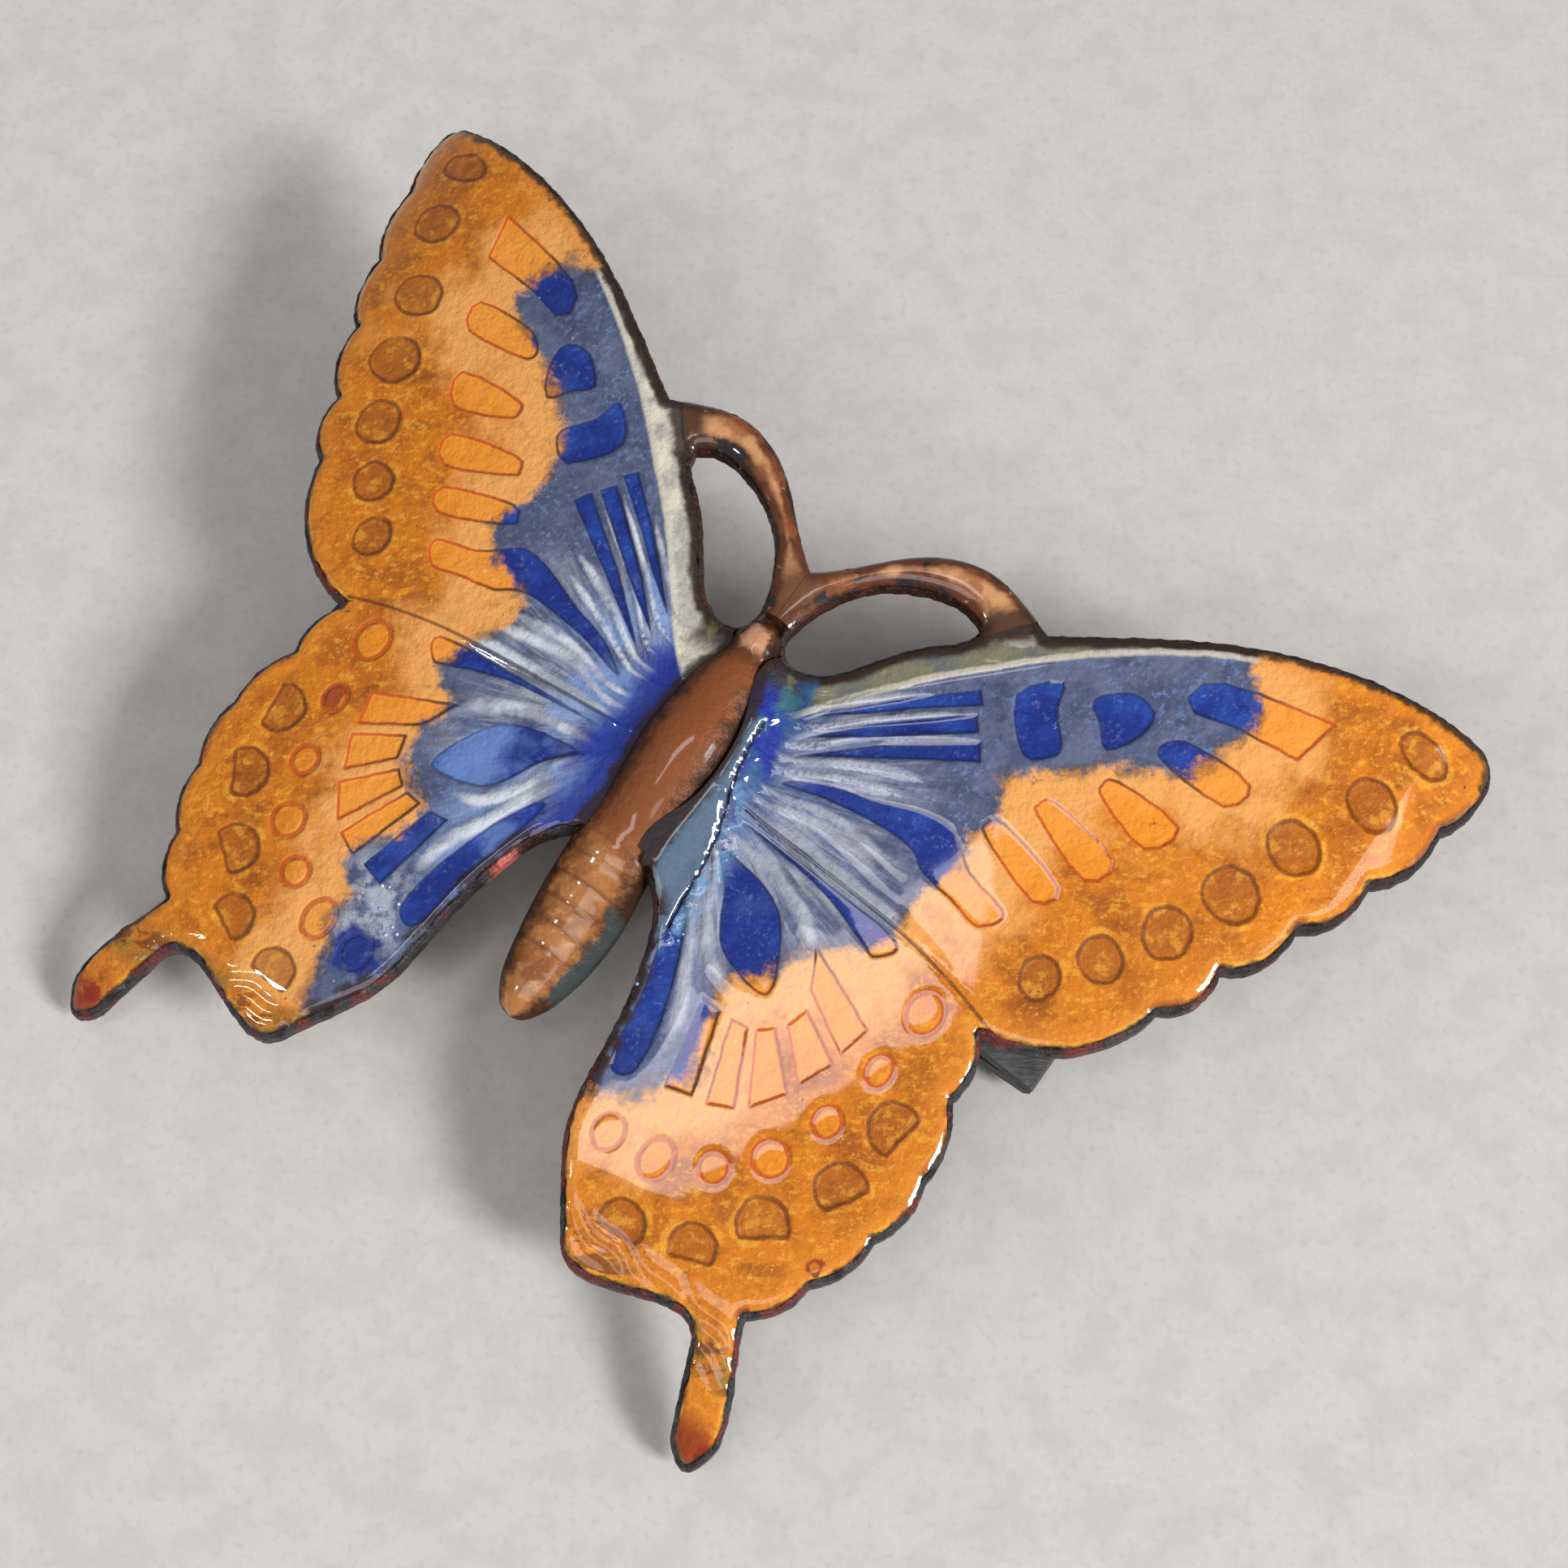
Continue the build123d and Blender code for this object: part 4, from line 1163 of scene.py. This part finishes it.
def makeBeadTree():
    tree, given = newGeometryTree("firedEdgeBead", (
        ("Radius", "Float", 0.00015), ("Waver", "Float", 0.5), ("Lump Size", "Float", 0.0009),
        ("Step", "Float", 0.00012)))
    curve = addNode("GeometryNodeMeshToCurve", {0: given["Geometry"]}).outputs[0]
    even = addNode("GeometryNodeResampleCurve", {"Curve": curve, "Length": given["Step"]}, mode="LENGTH")
    where = addNode("GeometryNodeInputPosition").outputs[0]
    noise = noiseAt(where, calc("DIVIDE", 1.0, given["Lump Size"]), 3.0)
    swing = calc("MULTIPLY", calc("SUBTRACT", noise, 0.5), calc("MULTIPLY", given["Waver"], 4.0))
    radius = calc("MAXIMUM", calc("MULTIPLY", given["Radius"], calc("ADD", swing, 1.0)), 0.00004)
    thick = addNode("GeometryNodeSetCurveRadius", {"Curve": even.outputs[0], "Radius": radius}).outputs[0]
    ring = addNode("GeometryNodeCurvePrimitiveCircle", {"Resolution": 8, "Radius": 1.0}).outputs[0]
    tube = addNode("GeometryNodeCurveToMesh", {"Curve": thick, "Profile Curve": ring})
    if "Scale" in tube.inputs:
        tree.links.new(radius, tube.inputs["Scale"])
    return endTree(tree, tube.outputs[0], given["Material"])


def edgeCarrier(loop, inward):
    dense = nibbledLoop(loop, inward)
    dense = dense + intoMetal(dense, inward) * beadShape["inset"]
    count = len(dense)
    return newCarrier(dense, beadShape["sink"], [(k, (k + 1) % count) for k in range(count)], [])


# Tiny bubbles caught at the surface of the enamel
bubbleShape = {"density": 0.16, "smallest": 0.04, "largest": 0.1, "sink": 0.02, "seed": 7}


def makeBubbleTree():
    tree, given = newGeometryTree("enamelBubbles", (
        ("Density", "Float", 200000.0), ("Smallest", "Float", 0.00005), ("Largest", "Float", 0.00013),
        ("Seed", "Int", 7)))
    spread = addNode("GeometryNodeDistributePointsOnFaces", {
        "Mesh": given["Geometry"], "Density": given["Density"], "Seed": given["Seed"]}).outputs[0]
    ball = addNode("GeometryNodeMeshIcoSphere", {"Radius": 1.0, "Subdivisions": 2}).outputs[0]
    limits = {"Seed": given["Seed"], 2: given["Smallest"], 3: given["Largest"]}
    size = addNode("FunctionNodeRandomValue", limits, data_type="FLOAT").outputs[1]
    placed = addNode("GeometryNodeInstanceOnPoints", {"Points": spread, "Instance": ball, "Scale": size})
    return endTree(tree, placed.outputs[0], given["Material"])


beadTree = makeBeadTree()
beadValues = {"Radius": beadShape["radius"] * mm, "Waver": beadShape["waver"], "Step": beadShape["step"] * mm,
              "Lump Size": beadShape["lumpSize"] * mm, "Material": beadCopper}
beadNames = ("outer_edge_bead", "first_loop_bead", "second_loop_bead")
for name, loop, inward in zip(beadNames, copperLoops, (1, -1, -1)):
    bead = bakeTree(edgeCarrier(loop, inward), beadTree, beadValues, name)
    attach(bead, "pin")
print("edge beads made")

# Where the bubbles sit, one closed outline for each side
bubbleSpots = {
    "right": [(3.1, 3.4), (4.3, 3.0), (5.0, 0.5), (4.9, -3.5), (4.6, -8.5), (3.4, -9.0), (3.6, -5.5),
              (3.2, 0.4)],
    "left": [(-6.0, -10.6), (-8.2, -9.8), (-8.8, -11.6), (-7.4, -12.6), (-5.6, -11.8)],
}
bubbleTree = makeBubbleTree()
bubbleValues = {"Density": bubbleShape["density"] * 1e7, "Smallest": bubbleShape["smallest"] * mm,
                "Largest": bubbleShape["largest"] * mm, "Seed": bubbleShape["seed"],
                "Material": makeBubbleGlass()}
for side, loop in bubbleSpots.items():
    places, triangles, _ = fillRegion([resample(np.array(loop, float), 0.4)], 0.5)
    carrier = newCarrier(places, bubbleShape["sink"], [], [tuple(f) for f in triangles])
    bubbles = bakeTree(carrier, bubbleTree, bubbleValues, f"{side}_bubbles")
    print(side, "bubbles:", len(bubbles.data.polygons) // 80)
    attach(bubbles, "pin")

# Floor, light and camera
stageShape = {"floorSize": 3.0, "skyLevel": 0.27, "skyColour": (0.96, 0.98, 1.0, 1)}
paperColours = {"paper": (211, 208, 204), "cloud": (204, 201, 197), "speck": (192, 189, 185)}
lampSet = {
    # place, size, second size, power, turn in degrees, colour
    "window": ((0.80, 0.0, 0.58), 0.25, 0.25, 8.6, 0, (1, 1, 1)),
    "ceilingStrip": ((-0.015, -0.145, 0.60), 0.25, 0.07, 0.28, 53, (1.0, 0.93, 0.95)),
    "lowStrip": ((0.10, -0.43, 0.55), 0.5, 0.2, 0.85, 0, (1, 1, 1)),
    "smallLamp": ((-0.27, -0.36, 0.40), 0.03, 0.04, 0.22, 0, (1, 1, 1)),
}
lampTarget = Vector((0, 0, 0.005))
cameraSet = {
    "lens": 55.9, "sensor_width": 36.0, "clip_start": 0.01,
    "stand": ((0.81295, -0.53714, 0.22492, 0.02863), (0.58232, 0.74715, -0.32044, -0.03127),
              (0.00407, 0.39148, 0.92018, 0.10880), (0, 0, 0, 1)),
}


def makeStage():
    bpy.ops.mesh.primitive_plane_add(size=stageShape["floorSize"], location=(0, 0, 0))
    floor = bpy.context.object
    floor.name = "paper_floor"
    material, shader = newMaterial("plainPaper", paperColours, Roughness=0.9)
    paper = paint("paper", (mottle(420, 0.4, 0.64), "cloud"), (mottle(2200, 0.5, 0.7), "speck", 0.5))
    below = addNode("ShaderNodeNewGeometry").outputs["Backfacing"]  # clear from below, to show the clasp
    connect(shader, Base_Color=paper, Alpha=calc("SUBTRACT", 1.0, below))
    giveMaterial(material, floor)


def addLamp(name, place, size, sizeY, power, turn, colour):
    light = bpy.data.lights.new(name, "AREA")
    light.shape = "RECTANGLE"
    light.size, light.size_y, light.energy, light.color = size, sizeY, power, colour
    lamp = bpy.data.objects.new(name, light)
    scene.collection.objects.link(lamp)
    aim = (lampTarget - Vector(place)).to_track_quat("-Z", "Y").to_matrix()
    turned = aim @ Matrix.Rotation(math.radians(turn), 3, "Z")
    lamp.matrix_world = Matrix.Translation(place) @ turned.to_4x4()


makeStage()
for name, values in lampSet.items():
    addLamp(name, *values)
world = bpy.data.worlds.new("studio")
world.use_nodes = True
background = world.node_tree.nodes["Background"]
background.inputs["Color"].default_value = stageShape["skyColour"]
background.inputs["Strength"].default_value = stageShape["skyLevel"]
scene.world = world

cameraData = bpy.data.cameras.new("camera")
for name in ("lens", "sensor_width", "clip_start"):
    setattr(cameraData, name, cameraSet[name])
camera = bpy.data.objects.new("camera", cameraData)
scene.collection.objects.link(camera)
camera.matrix_world = Matrix(cameraSet["stand"])
scene.camera = camera
scene.view_settings.view_transform = "Standard"
print("stage set")
